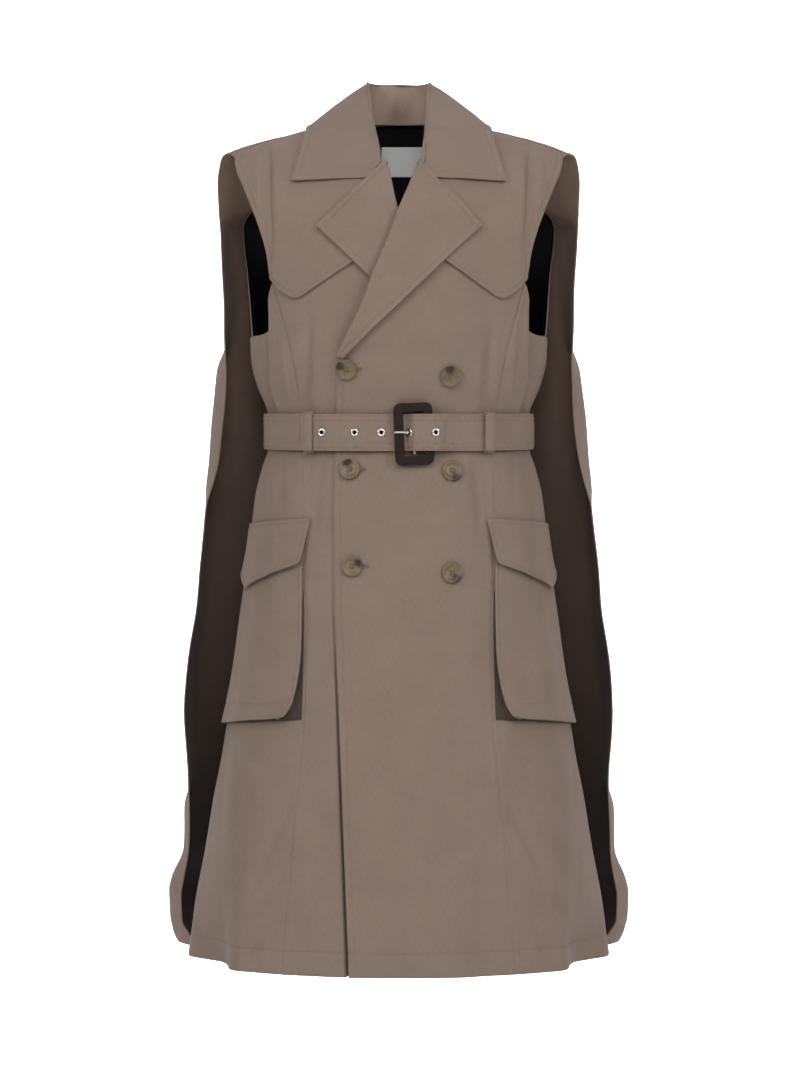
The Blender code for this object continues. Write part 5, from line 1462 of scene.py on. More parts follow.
def seam_dip(points, edges):
    """Return the dip of a panel toward its seams, with the low ridge of the seam allowance beside it."""
    def dip(inward):
        allowance = SEAM_RIDGE * np.exp(-((inward - SEAM_RIDGE_PLACE) / SEAM_RIDGE_WIDTH) ** 2)
        return allowance - SEAM_DEPTH * np.exp(-(inward / SEAM_WIDTH) ** 2)

    return by_edges(points, edges, dip)


def dense_ends(count, strength=CROWDING):
    """Return shares from 0 to 1 that crowd toward both ends."""
    even = np.linspace(0.0, 1.0, count)
    return even - strength * np.sin(2 * math.pi * even) / (2 * math.pi)


def grid_of(surface, columns, rows):
    """Return the points of a surface on a grid, at the given shares across and up."""
    across, up = np.meshgrid(columns, rows)
    return surface(across, up)


def own_grid(name):
    """Return the shares across and up of a piece's own grid."""
    grid = GRIDS[name]
    return dense_ends(grid.columns, grid.column_crowding), dense_ends(grid.rows, grid.row_crowding)


def banded(bands):
    """Return the places of rows in bands."""
    return np.concatenate([np.linspace(*band) for band in bands])


def body_rows(top=True):
    """Return the rows of the body panels as shares: close about the hem's stitching, even above it."""
    even = np.linspace(HEM + EVEN_ROWS_START, UNDERARM, EVEN_ROWS)
    heights = np.concatenate((HEM + banded(HEM_BANDS), even))
    low = np.interp(heights, ROW_HEIGHTS, ROW_SHARES)
    if not top:
        return low
    return np.concatenate((low * LOW_SHARE, np.linspace(LOW_SHARE, 1.0, SHOULDER_ROWS)[1:]))


# Making pieces

def declare(piece, node):
    """Tie a piece to the body, and hide the solid that it stands for."""
    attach(piece, "root")
    if node:
        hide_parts(node)


def cloth_piece(name, points, thickness, outside, inside, lined_above=None, rim=RIM_SHARE):
    """Make a thin shell from the points of its outer face."""
    rows, columns = points.shape[:2]
    bpy.ops.object.select_all(action="DESELECT")
    bpy.ops.mesh.primitive_grid_add(x_subdivisions=columns - 1, y_subdivisions=rows - 1, size=1.0)
    piece = bpy.context.object
    piece.name = name + "_cloth"
    mesh = piece.data
    mesh.name = piece.name
    places = np.empty(len(mesh.vertices) * 3)
    mesh.vertices.foreach_get("co", places)
    places = places.reshape(-1, 3)
    at_column = np.rint((places[:, 0] + 0.5) * (columns - 1)).astype(int)
    at_row = np.rint((places[:, 1] + 0.5) * (rows - 1)).astype(int)
    mesh.vertices.foreach_set("co", points[at_row, at_column].ravel())
    weft = walked_rows(points)
    warp = walked_rows(points.swapaxes(0, 1)).swapaxes(0, 1)
    corners = np.empty(len(mesh.loops), int)
    mesh.loops.foreach_get("vertex_index", corners)
    cloth_map = np.stack((weft, warp), axis=-1)[at_row, at_column][corners]
    mesh.uv_layers[0].name = "cloth"
    mesh.uv_layers["cloth"].data.foreach_set("uv", cloth_map.ravel())
    for material in (outside, inside):
        mesh.materials.append(material)
    wall = piece.modifiers.new("wall", "SOLIDIFY")
    wall.thickness = thickness
    wall.offset = -1
    wall.material_offset = 1
    bpy.ops.object.modifier_apply(modifier=wall.name)
    round_rim(piece, thickness * rim)
    bpy.ops.object.shade_smooth_by_angle(angle=math.radians(60))
    if lined_above is not None:
        for face in mesh.polygons:
            if face.material_index == 1 and face.center.z < lined_above:
                face.material_index = 0
    declare(piece, name)
    PANELS[name] = points
    return piece


def cut_sheet(name):
    """Measure the length of a shell's outer face from its points; the length is not used."""
    points = PANELS[name]
    length = float(walked_rows(points.swapaxes(0, 1))[:, -1].max())


def gabardine_sheet(name, points, thickness):
    """Make a piece that shows the face of the gabardine on both sides, and measure its cut."""
    piece = cloth_piece(name, points, thickness, gabardine(), gabardine())
    cut_sheet(name)


def round_rim(piece, width):
    """Round the cut edges of a cloth wall a little."""
    rim = piece.modifiers.new("rim", "BEVEL")
    rim.width = width
    rim.segments = 2
    rim.limit_method = "ANGLE"
    rim.angle_limit = math.radians(70)
    bpy.ops.object.modifier_apply(modifier=rim.name)


def mirrored(points):
    """Return a grid of points on the other side of the garment, its columns in order again."""
    return points[:, ::-1] * (-1, 1, 1)


def dressed(name, points, lift, edges=()):
    """Return a panel's points with its own lift, its stitching and its turned edges."""
    lift = lift + stitched_lift(name, points) + rolled_edges(points, edges)
    return points + facing(points) * lift[..., None]


def stitch_model(length, thread):
    """Return the corner points and faces of one stitch, a flat grain lying along +X."""
    bpy.ops.object.select_all(action="DESELECT")
    bpy.ops.mesh.primitive_uv_sphere_add(segments=5, ring_count=4, radius=1.0)
    model = bpy.context.object
    bpy.ops.object.mode_set(mode="EDIT")
    bpy.ops.mesh.select_all(action="SELECT")
    bpy.ops.transform.rotate(value=math.pi / 2, orient_axis="Y", center_override=(0, 0, 0))
    bpy.ops.transform.resize(value=(length / 2, thread / 2, thread / 2), center_override=(0, 0, 0))
    bpy.ops.object.mode_set(mode="OBJECT")
    corners = np.array([vertex.co[:] for vertex in model.data.vertices])
    faces = [tuple(face.vertices) for face in model.data.polygons]
    bpy.data.objects.remove(model, do_unlink=True)
    return corners, faces


def joined_copies(name, corners, faces, frames, material):
    """Make one mesh of many copies of a small shape; each frame holds three directions and a place."""
    count = len(frames)
    placed = np.einsum("nij,kj->nki", frames[:, :, :3], corners) + frames[:, None, :, 3]
    starts = [copy * len(corners) for copy in range(count)]
    shifted = [tuple(start + index for index in face) for start in starts for face in faces]
    mesh = bpy.data.meshes.new(name)
    mesh.from_pydata(placed.reshape(-1, 3).tolist(), [], shifted)
    mesh.materials.append(material)
    mesh.shade_smooth()
    piece = bpy.data.objects.new(name, mesh)
    bpy.context.scene.collection.objects.link(piece)
    return piece


def sampled(path, walked, places):
    """Return points of a path at distances walked along it."""
    return np.stack([np.interp(places, walked, path[:, axis]) for axis in range(3)], axis=1)


def stitch_frames(path, out, start, end, pitch):
    """Return a frame for each stitch along a path that lies on a face with the given outward directions."""
    walked = np.array(lengths(list(path)))
    places = np.arange(start + pitch / 2, walked[-1] - end, pitch)
    if len(places) == 0:
        return np.empty((0, 3, 4))
    middle = sampled(path, walked, places)
    sight = pitch * STITCH_SIGHT
    along = unit(sampled(path, walked, places + sight) - sampled(path, walked, places - sight))
    up = unit(sampled(out, walked, places))
    side = unit(np.cross(up, along))
    return np.stack((along, side, np.cross(along, side), middle), axis=2)


def stitched_row(row, pitch):
    """Return the frames of the stitches of one row of topstitching."""
    points = PANELS[row.panel]
    turned = from_edge(points, row.edge)
    out = from_edge(facing(points), row.edge)
    inward = walked_rows(turned)
    last = np.clip((inward < row.distance).sum(1), 1, turned.shape[1] - 1)
    line = np.arange(len(turned))
    span = inward[line, last] - inward[line, last - 1]
    part = np.clip((row.distance - inward[line, last - 1]) / span, 0.0, 1.0)
    path = between(turned[line, last - 1], turned[line, last], part)
    return stitch_frames(path, out[line, last], row.start, row.end, pitch)


# Materials

def add_node(tree, kind, settings, links=()):
    """Add a node with its settings, and links given as pairs of a socket's name and what feeds it."""
    node = tree.nodes.new(kind)
    for name, value in settings.items():
        if isinstance(name, int) or name in node.inputs:
            node.inputs[name].default_value = value
        else:
            setattr(node, name, value)
    for name, source in links:
        tree.links.new(source, node.inputs[name])
    return node


def new_material(name, roughness, metallic=0.0, **settings):
    """Return a new material with its tree and its shader."""
    material = bpy.data.materials.get(name)
    if material:
        return material, None, None
    material = bpy.data.materials.new(name)
    material.use_nodes = True
    tree = material.node_tree
    shader = tree.nodes["Principled BSDF"]
    shader.inputs["Roughness"].default_value = roughness
    shader.inputs["Metallic"].default_value = metallic
    for socket, value in settings.items():
        shader.inputs[socket.replace("_", " ").title().replace("Ior", "IOR")].default_value = value
    return material, tree, shader


def shaded(colour, factor=1.0):
    """Return a colour with an alpha value, made lighter or darker by a factor."""
    return tuple(min(part * factor, 1.0) for part in colour) + (1.0,)


def toned(colour, tones):
    """Return the dark and the pale end of a pattern in one colour."""
    return shaded(colour, tones.dark), shaded(colour, tones.pale)


def twill(name, pale, dark, roughness, twill_depth, painted_shade_at_hem=None):
    """Cotton gabardine: steep twill woven from two close yarns, matt, with slubs and uneven colour."""
    material, tree, shader = new_material(name, roughness, specular_ior_level=0.25, sheen_weight=0.06)
    if tree is None:
        return material
    cloth = add_node(tree, "ShaderNodeUVMap", {"uv_map": "cloth"})
    object_place = add_node(tree, "ShaderNodeTexCoord", {})
    # A gabardine's twill line is about 0.5 mm wide; it is drawn 1.1 mm wide so that it shows
    turned = add_node(tree, "ShaderNodeMapping", {"Rotation": (0.0, 0.0, TWILL_ANGLE)},
                      [("Vector", cloth.outputs["UV"])])
    line_scale = 1 / TWILL_LINE / WAVE_BANDS
    lines = add_node(tree, "ShaderNodeTexWave", {"Scale": line_scale, "Distortion": 1.2, "Detail": 1.0},
                     [("Vector", turned.outputs["Vector"])])
    # Slubs 1 mm thick run 7 mm along the warp
    stretched = add_node(tree, "ShaderNodeMapping", {"Scale": (1 / SLUB_WIDE, 1 / SLUB_LONG, 1.0)},
                         [("Vector", cloth.outputs["UV"])])
    slubs = add_node(tree, "ShaderNodeTexNoise", {"Scale": 1.0, "Detail": 3.0, "Roughness": 0.6},
                     [("Vector", stretched.outputs["Vector"])])
    # Uneven colour, in patches of about 40 mm
    patches = add_node(tree, "ShaderNodeTexNoise", {"Scale": 1 / TONE_PATCH, "Detail": 2.0, "Roughness": 0.5},
                       [("Vector", object_place.outputs["Object"])])
    uneven = add_node(tree, "ShaderNodeMath", {"operation": "MULTIPLY_ADD", 1: 0.5},
                      [(0, patches.outputs["Fac"]), (2, slubs.outputs["Fac"])])
    share = add_node(tree, "ShaderNodeMapRange", {"From Min": 0.45, "From Max": 1.05},
                     [("Value", uneven.outputs["Value"])])
    ramp = add_node(tree, "ShaderNodeValToRGB", {}, [("Fac", share.outputs["Result"])])
    ramp.color_ramp.elements[0].color = shaded(dark)
    ramp.color_ramp.elements[1].color = shaded(pale)
    colour = ramp.outputs["Color"]
    # Painted shade, where asked: the colour darkens toward the hem, down to the given share of it there
    if painted_shade_at_hem:
        level = add_node(tree, "ShaderNodeSeparateXYZ", {}, [("Vector", object_place.outputs["Object"])])
        depth = add_node(tree, "ShaderNodeMapRange", {"From Min": HEM, "From Max": 0.0, "To Min": painted_shade_at_hem},
                         [("Value", level.outputs["Z"])])
        painted_shade = add_node(tree, "ShaderNodeVectorMath", {"operation": "SCALE"},
                          [("Vector", colour), ("Scale", depth.outputs["Result"])])
        colour = painted_shade.outputs["Vector"]
    tree.links.new(colour, shader.inputs["Base Color"])
    height = add_node(tree, "ShaderNodeMath", {"operation": "MULTIPLY_ADD", 1: 0.6},
                      [(0, slubs.outputs["Fac"]), (2, lines.outputs["Fac"])])
    bump = add_node(tree, "ShaderNodeBump", {"Strength": twill_depth, "Distance": 0.0003},
                    [("Height", height.outputs["Value"])])
    tree.links.new(bump.outputs["Normal"], shader.inputs["Normal"])
    return material


def scaled(colour, factor):
    """Return a colour scaled by a factor."""
    return tuple(part * factor for part in colour)


def gabardine():
    """Return the face of the cotton gabardine."""
    pale = colours().gabardine
    return twill("cotton_gabardine", pale, colours().gabardine_dark, roughness=0.88, twill_depth=0.35)


def stand_twill():
    """Return the gabardine on the inside of the neck, drawn paler than the face as painted light."""
    pale = scaled(colours().gabardine, STAND_PAINTED_LIGHT)
    dark = scaled(colours().gabardine_dark, STAND_PAINTED_LIGHT)
    return twill("stand_twill", pale, dark, roughness=0.88, twill_depth=0.35)


def gusset_twill():
    """Return the gabardine of the pocket gussets, drawn darker than the face as painted shade in their
    recess.
    """
    pale = scaled(colours().gabardine, GUSSET_PAINTED_SHADE)
    dark = scaled(colours().gabardine_dark, GUSSET_PAINTED_SHADE)
    return twill("gusset_twill", pale, dark, roughness=0.92, twill_depth=0.25)


def cape_inside():
    """Return the inside of the cape: its cloth drawn paler than the face as painted light, with painted shade
    that darkens it toward the hem.
    """
    pale = colours().cape_inside
    dark = scaled(pale, CAPE_INSIDE_YARN)
    return twill("cape_inside_twill", pale, dark, roughness=0.9, twill_depth=0.25, painted_shade_at_hem=CAPE_INSIDE_PAINTED_SHADE_AT_HEM)


def lining_cloth():
    """Viscose lining: smooth black plain weave with a faint silky gloss and fine cross threads."""
    material, tree, shader = new_material("viscose_lining", 0.60, specular_ior_level=0.15)
    if tree is None:
        return material
    cloth = add_node(tree, "ShaderNodeUVMap", {"uv_map": "cloth"})
    # Threads are about 0.2 mm apart in such a lining, and drawn 0.8 mm apart so that they show
    threads = add_node(tree, "ShaderNodeMapping", {"Scale": (1 / LINING_THREAD, 1 / LINING_THREAD_LONG, 1.0)},
                       [("Vector", cloth.outputs["UV"])])
    weave = add_node(tree, "ShaderNodeTexNoise", {"Scale": 1.0, "Detail": 2.0},
                     [("Vector", threads.outputs["Vector"])])
    dark, pale = toned(colours().lining, LINING_TONES)
    ramp = add_node(tree, "ShaderNodeValToRGB", {}, [("Fac", weave.outputs["Fac"])])
    ramp.color_ramp.elements[0].color = dark
    ramp.color_ramp.elements[1].color = pale
    tree.links.new(ramp.outputs["Color"], shader.inputs["Base Color"])
    bump = add_node(tree, "ShaderNodeBump", {"Strength": 0.15, "Distance": 0.0002},
                    [("Height", weave.outputs["Fac"])])
    tree.links.new(bump.outputs["Normal"], shader.inputs["Normal"])
    return material


def label_satin():
    """Woven polyester satin: bright and smooth with fine cross ribs."""
    material, tree, shader = new_material("label_satin", 0.45, specular_ior_level=0.4)
    if tree is None:
        return material
    cloth = add_node(tree, "ShaderNodeUVMap", {"uv_map": "cloth"})
    # Weft ribs are about 0.4 mm apart in such a satin, and drawn 0.9 mm apart so that they show
    rib_scale = 1 / LABEL_RIB / WAVE_BANDS
    ribs = add_node(tree, "ShaderNodeTexWave",
                    {"bands_direction": "Y", "Scale": rib_scale, "Distortion": 0.4},
                    [("Vector", cloth.outputs["UV"])])
    dark, pale = toned(colours().label, LABEL_TONES)
    ramp = add_node(tree, "ShaderNodeValToRGB", {}, [("Fac", ribs.outputs["Fac"])])
    ramp.color_ramp.elements[0].color = dark
    ramp.color_ramp.elements[1].color = pale
    tree.links.new(ramp.outputs["Color"], shader.inputs["Base Color"])
    bump = add_node(tree, "ShaderNodeBump", {"Strength": 0.2, "Distance": 0.0002},
                    [("Height", ribs.outputs["Fac"])])
    tree.links.new(bump.outputs["Normal"], shader.inputs["Normal"])
    return material


def sewing_thread():
    """Spun polyester thread: twisted, matt, in tone between the cloth's two yarns."""
    material, tree, shader = new_material("sewing_thread", 0.8, specular_ior_level=0.3)
    if tree is None:
        return material
    place = add_node(tree, "ShaderNodeTexCoord", {})
    # Twist of the plies, about 0.7 mm long
    twist = add_node(tree, "ShaderNodeTexNoise", {"Scale": 1 / PLY_TWIST, "Detail": 1.0},
                     [("Vector", place.outputs["Object"])])
    dark, pale = toned(colours().thread, THREAD_TONES)
    ramp = add_node(tree, "ShaderNodeValToRGB", {}, [("Fac", twist.outputs["Fac"])])
    ramp.color_ramp.elements[0].color = dark
    ramp.color_ramp.elements[1].color = pale
    tree.links.new(ramp.outputs["Color"], shader.inputs["Base Color"])
    return material


def calf_leather():
    """Dyed calf over a rigid frame: dark brown, fine pebbled grain, paler in soft patches."""
    material, tree, shader = new_material("calf_leather", 0.40, specular_ior_level=0.16)
    if tree is None:
        return material
    place = add_node(tree, "ShaderNodeTexCoord", {})
    # Grain cells of about 0.9 mm
    grain = add_node(tree, "ShaderNodeTexVoronoi", {"Scale": 1 / LEATHER_GRAIN, "feature": "SMOOTH_F1"},
                     [("Vector", place.outputs["Object"])])
    worn = add_node(tree, "ShaderNodeTexNoise", {"Scale": 1 / LEATHER_PATCH, "Detail": 3.0},
                    [("Vector", place.outputs["Object"])])
    dark, pale = toned(colours().leather, LEATHER_TONES)
    ramp = add_node(tree, "ShaderNodeValToRGB", {}, [("Fac", worn.outputs["Fac"])])
    ramp.color_ramp.elements[0].color = dark
    ramp.color_ramp.elements[1].color = pale
    tree.links.new(ramp.outputs["Color"], shader.inputs["Base Color"])
    bump = add_node(tree, "ShaderNodeBump", {"Strength": 0.3, "Distance": 0.0002},
                    [("Height", grain.outputs["Distance"])])
    tree.links.new(bump.outputs["Normal"], shader.inputs["Normal"])
    return material


def bright_nickel():
    """Nickel plate on brass: bright, faintly yellow grey, with fine rub marks."""
    material, tree, shader = new_material("bright_nickel", 0.24, metallic=1.0)
    if tree is None:
        return material
    shader.inputs["Base Color"].default_value = shaded(colours().nickel)
    place = add_node(tree, "ShaderNodeTexCoord", {})
    # Rub marks of about 0.5 mm
    marks = add_node(tree, "ShaderNodeTexNoise", {"Scale": 1 / RUB_MARK, "Detail": 2.0},
                     [("Vector", place.outputs["Object"])])
    gloss = add_node(tree, "ShaderNodeMapRange", {"To Min": 0.16, "To Max": 0.34},
                     [("Value", marks.outputs["Fac"])])
    tree.links.new(gloss.outputs["Result"], shader.inputs["Roughness"])
    return material


def polished_horn():
    """Horn-like casein: glossy, tan with cloudy streaks and one dark brown spot in each button."""
    material, tree, shader = new_material("polished_horn", 0.34, specular_ior_level=0.4)
    if tree is None:
        return material
    place = add_node(tree, "ShaderNodeTexCoord", {})
    # Clouds of about 4 mm
    clouds = add_node(tree, "ShaderNodeTexNoise", {"Scale": 1 / HORN_CLOUD, "Detail": 4.0, "Distortion": 0.8},
                      [("Vector", place.outputs["Object"])])
    spot = add_node(tree, "ShaderNodeAttribute", {"attribute_name": "spot"})
    depth = add_node(tree, "ShaderNodeMath", {"operation": "MULTIPLY_ADD", 1: 0.9},
                     [(0, clouds.outputs["Fac"]), (2, spot.outputs["Fac"])])
    dark, pale = toned(colours().horn, HORN_TONES)
    ramp = add_node(tree, "ShaderNodeValToRGB", {}, [("Fac", depth.outputs["Value"])])
    ramp.color_ramp.elements[0].position = 0.25
    ramp.color_ramp.elements[0].color = pale
    ramp.color_ramp.elements[1].position = 0.95
    ramp.color_ramp.elements[1].color = shaded(colours().horn_dark)
    middle = ramp.color_ramp.elements.new(0.55)
    middle.color = dark
    tree.links.new(ramp.outputs["Color"], shader.inputs["Base Color"])
    return material


def backdrop_paper():
    """Matt white paper of the stage."""
    material, tree, shader = new_material("backdrop_paper", 0.95, specular_ior_level=0.1)
    if tree is None:
        return material
    place = add_node(tree, "ShaderNodeTexCoord", {})
    fibres = add_node(tree, "ShaderNodeTexNoise", {"Scale": 1 / PAPER_FIBRE, "Detail": 2.0},
                      [("Vector", place.outputs["Object"])])
    dark, pale = toned(colours().paper, PAPER_TONES)
    ramp = add_node(tree, "ShaderNodeValToRGB", {}, [("Fac", fibres.outputs["Fac"])])
    ramp.color_ramp.elements[0].color = dark
    ramp.color_ramp.elements[1].color = pale
    tree.links.new(ramp.outputs["Color"], shader.inputs["Base Color"])
    return material


# Operators, one for each piece or group of like pieces

class VEST_OT_body(bpy.types.Operator):
    """Lay the cloth of the fronts, the sides and the back on their solids"""

    bl_idname = "vest.body"
    bl_label = "Body panels"

    def execute(self, context):
        rows = body_rows()
        slit_columns = np.linspace(*SLIT_COLUMNS, SLIT_COLUMN_COUNT)
        right_columns = np.unique(np.concatenate((dense_ends(RIGHT_COLUMNS), slit_columns)))
        for side, surface, columns in (
                ("left", left_front, dense_ends(FRONT_COLUMNS)), ("right", right_front, right_columns)):
            name = "front_" + side
            points = grid_of(surface, columns, rows)
            x, z = points[..., 0], points[..., 2]
            lift = crease_lift(name, x, z) + slow_waves(x, z)
            low = 1 - across_zone(SLIT_GROWS, z)
            if side == "left":
                open_edge = np.exp(-np.maximum(x - left_edge(z), 0.0) / SLIT_REACH)
                lift += SLIT_CURL * open_edge * low - SLIT_FALL * open_edge ** 2 * (1 - low)
                seam_edge, free_edge = "right", "left"
            else:
                aside = (-x - left_edge(z) + SLIT_PLACE) / mix(SLIT_WIDTH_TOP, SLIT_WIDTH_LOW, low)
                lift -= SLIT_DEPTH * low * np.exp(-aside ** 2) * (1 - across_zone(SLIT_TOP, z))
                points = mirrored(points)
                lift = lift[:, ::-1]
                seam_edge, free_edge = "left", "right"
            lift = lift + seam_dip(points, (seam_edge,))
            self.lay(name, dressed(name, points, lift, (free_edge, "bottom")), ["side_" + side])
        across, up = np.meshgrid(dense_ends(SIDE_COLUMNS), body_rows(top=False))
        distance, height = side_places(across, up)
        for side in ("left", "right"):
            name = "side_" + side
            points = side_panel(across, up)
            lift = crease_lift(name, distance, height) + slow_waves(points[..., 0] + points[..., 1], height)
            if side == "right":
                points = mirrored(points)
                lift = lift[:, ::-1]
            lift = lift + seam_dip(points, ("left", "right"))
            self.lay(name, dressed(name, points, lift, ("bottom", "top")), ["back_" + side])
        for name in ("back_left", "back_right"):
            points = grid_of(half_back, np.linspace(0.0, 1.0, BACK_COLUMNS), rows)
            if name == "back_right":
                points = mirrored(points)
            x, z = points[..., 0], points[..., 2]
            lift = crease_lift("back", x, z) + slow_waves(x, z) + seam_dip(points, ("left", "right"))
            self.lay(name, dressed(name, points, lift, ("bottom",)), ["cape"])
        return {"FINISHED"}

    def lay(self, name, points, rests_on):
        """Lay one body panel: gabardine outside, black lining inside down to the waist."""
        piece = cloth_piece(
            name, points, sizes().cloth, gabardine(), lining_cloth(), LINING_HEM, SEAMED_RIM)
        cut_sheet(name)


class VEST_OT_lining(bpy.types.Operator):
    """Lay the black half lining inside the back, with its blank label"""

    bl_idname = "vest.lining"
    bl_label = "Lining and label"

    def execute(self, context):
        points = grid_of(lining_panel, *own_grid("lining_back"))
        lift = LINING_WAVES * slow_waves(points[..., 0], points[..., 2])
        points = points + facing(points) * lift[..., None]
        piece = cloth_piece("lining_back", points, sizes().lining, lining_cloth(), lining_cloth())
        cut_sheet("lining_back")
        points = grid_of(label_patch, *own_grid("label"))
        piece = cloth_piece("label", points, sizes().label, label_satin(), label_satin())
        cut_sheet("label")
        return {"FINISHED"}


class VEST_OT_cape(bpy.types.Operator):
    """Hang the cape from the shoulders and the back of the neck"""

    bl_idname = "vest.cape"
    bl_label = "Cape"

    def execute(self, context):
        columns = dense_ends(CAPE_COLUMNS, CAPE_CROWDING)
        points = grid_of(cape, columns, banded(CAPE_ROWS))
        x, z = points[..., 0], points[..., 2]
        share = np.abs(2 * columns - 1)
        inner = 1 - across_zone(CAPE_CREASED, share)
        lift = crease_lift("cape", x, z) * inner + CAPE_WAVES * slow_waves(x, z)
        points = dressed("cape", points, lift, ("left", "right", "bottom"))
        by_edge = across_zone(HEM_CORNER_EDGE, share)
        by_hem = 1 - across_zone(HEM_CORNER_RISE, z)
        points[..., 0] -= np.sign(x) * HEM_CORNER_IN * by_edge * by_hem
        # The cape's inside is drawn with painted light at the shoulders and painted shade toward the hem
        piece = cloth_piece("cape", points, sizes().cloth, gabardine(), cape_inside())
        cut_sheet("cape")
        return {"FINISHED"}


class VEST_OT_storm_flaps(bpy.types.Operator):
    """Lay the two storm flaps on the chest"""

    bl_idname = "vest.storm_flaps"
    bl_label = "Storm flaps"

    def execute(self, context):
        for side, under in (("left", left_lift), ("right", no_lift)):
            name = "storm_flap_" + side
            points = grid_of(lambda across, up: storm_flap(across, up, under), *own_grid("storm_flap"))
            x, z = points[..., 0], points[..., 2]
            lift = crease_lift(name, x, z) + slow_waves(x, z)
            if side == "right":
                points = mirrored(points)
                lift = lift[:, ::-1]
            lift = lift + curled_edges(points, ("bottom",), STORM_CURL)
            points = dressed(name, points, lift, ("left", "right", "bottom"))
            gabardine_sheet(name, points, sizes().cloth)
        return {"FINISHED"}


class VEST_OT_lapels(bpy.types.Operator):
    """Turn the two lapels over at their roll lines"""

    bl_idname = "vest.lapels"
    bl_label = "Lapels"

    def execute(self, context):
        turn = np.linspace(1.0, 0.0, LAPEL_ROLL_COLUMNS + 1)[:-1]
        angle = (turn * LAPEL_ROLL_TURN)[None, :, None]
        for side, surface in (("left", left_lapel), ("right", right_lapel)):
            name = "lapel_" + side
            points = grid_of(surface, *own_grid("lapel"))
            lift = slow_waves(points[..., 0], points[..., 2])
            points = points + facing(points) * lift[..., None]
            out = facing(points)[:, :1]
            away = unit(points[:, :1] - points[:, 2:3])
            rolled = points[:, :1] + ROLL_RADIUS * (away * np.sin(angle) - out * (1 - np.cos(angle)))
            points = np.concatenate((rolled, points), axis=1)
            if side == "right":
                points = mirrored(points)
            edges = ("right", "top") if side == "left" else ("left", "top")
            curl = curled_edges(points, edges, LAPEL_EDGE_CURL)
            if side == "right":
                curl *= across_zone(RIGHT_LAPEL_SHOWS, points[..., 2])
            points = dressed(name, points, curl, edges)
            gabardine_sheet(name, points, sizes().doubled)
        return {"FINISHED"}


class VEST_OT_collar(bpy.types.Operator):
    """Stand the collar round the neck and turn its fall over it"""

    bl_idname = "vest.collar"
    bl_label = "Collar"

    def execute(self, context):
        columns, rows = own_grid("collar_fall")
        fall = grid_of(collar_fall, columns, rows)
        over = grid_of(collar_roll, columns, np.linspace(0.0, 1.0, ROLL_ROWS + 1)[1:])
        points = np.concatenate((fall, over), axis=0)
        slant = points[..., 0] + COLLAR_WAVE_SLANT * points[..., 1]
        lift = COLLAR_WAVES * slow_waves(slant, points[..., 2])
        free = 1 - across_zone(COLLAR_GORGE, np.concatenate((rows, np.ones(ROLL_ROWS))))
        lift += free[:, None] * curled_edges(points, ("left", "right", "bottom"), COLLAR_CURL)
        points = dressed("collar_fall", points, lift, ("left", "right", "bottom"))
        gabardine_sheet("collar_fall", points, sizes().doubled)
        rows = np.linspace(-STAND_HANG, 1.0, STAND_ROWS)
        points = grid_of(collar_stand, np.linspace(0.0, 1.0, STAND_COLUMNS), rows)
        lift = STAND_WAVES * slow_waves(STAND_WAVE_SQUEEZE * points[..., 0], points[..., 2])
        points = points + facing(points) * lift[..., None]
        # The inside of the stand is drawn with painted light
        piece = cloth_piece("collar_stand", points, sizes().cloth, gabardine(), stand_twill())
        cut_sheet("collar_stand")
        return {"FINISHED"}


class VEST_OT_belt(bpy.types.Operator):
    """Run the belt round the waist under its two loops"""

    bl_idname = "vest.belt"
    bl_label = "Belt and loops"

    def execute(self, context):
        points = grid_of(belt, *own_grid("belt"))
        walked = walked_rows(points)
        height = points[..., 2] - BELT_HEIGHT
        lift = sum(
            ripple.height * np.sin(walked / ripple.length + ripple.slant * height) for ripple in BELT_RIPPLES)
        points = dressed("belt", points, lift, ("bottom", "top", "left", "right"))
        gabardine_sheet("belt", points, sizes().belt)
        for side in ("left", "right"):
            name = "belt_loop_" + side
            points = grid_of(belt_loop, *own_grid("belt_loop"))
            if side == "right":
                points = mirrored(points)
            points = dressed(name, points, np.zeros(points.shape[:2]), ("left", "right"))
            gabardine_sheet(name, points, sizes().cloth)
        return {"FINISHED"}


class VEST_OT_pockets(bpy.types.Operator):
    """Set the bellows pockets, their gussets and their flaps on the sides"""

    bl_idname = "vest.pockets"
    bl_label = "Pockets"

    def execute(self, context):
        cloth = sizes().cloth
        for side in ("left", "right"):
            gusset = self.lay("pocket_gusset", side, pocket_gusset, (), sizes().lining)
            bag = self.lay("pocket", side, pocket_bag, ("left", "bottom"), cloth, BAG_CURL)
            flap = self.lay("pocket_flap", side, pocket_flap, ("left", "right", "bottom"), cloth, FLAP_CURL)
            cut_sheet("pocket_" + side)
            cut_sheet("pocket_flap_" + side)
        return {"FINISHED"}

    def lay(self, kind, side, surface, edges, thickness, curl=0.0):
        """Lay one panel of a pocket on the left side, or its mirror image on the right."""
        name = kind + "_" + side
        points = grid_of(surface, *own_grid(kind))
        lift = slow_waves(points[..., 0] + points[..., 1], points[..., 2])
        if side == "right":
            points = mirrored(points)
            lift = lift[:, ::-1]
            edges = [{"left": "right", "right": "left"}.get(edge, edge) for edge in edges]
        points = dressed(name, points, lift + curled_edges(points, edges, curl), edges)
        # The gussets are drawn with painted shade
        face = gusset_twill() if "gusset" in name else gabardine()
        return cloth_piece(name, points, thickness, face, face)


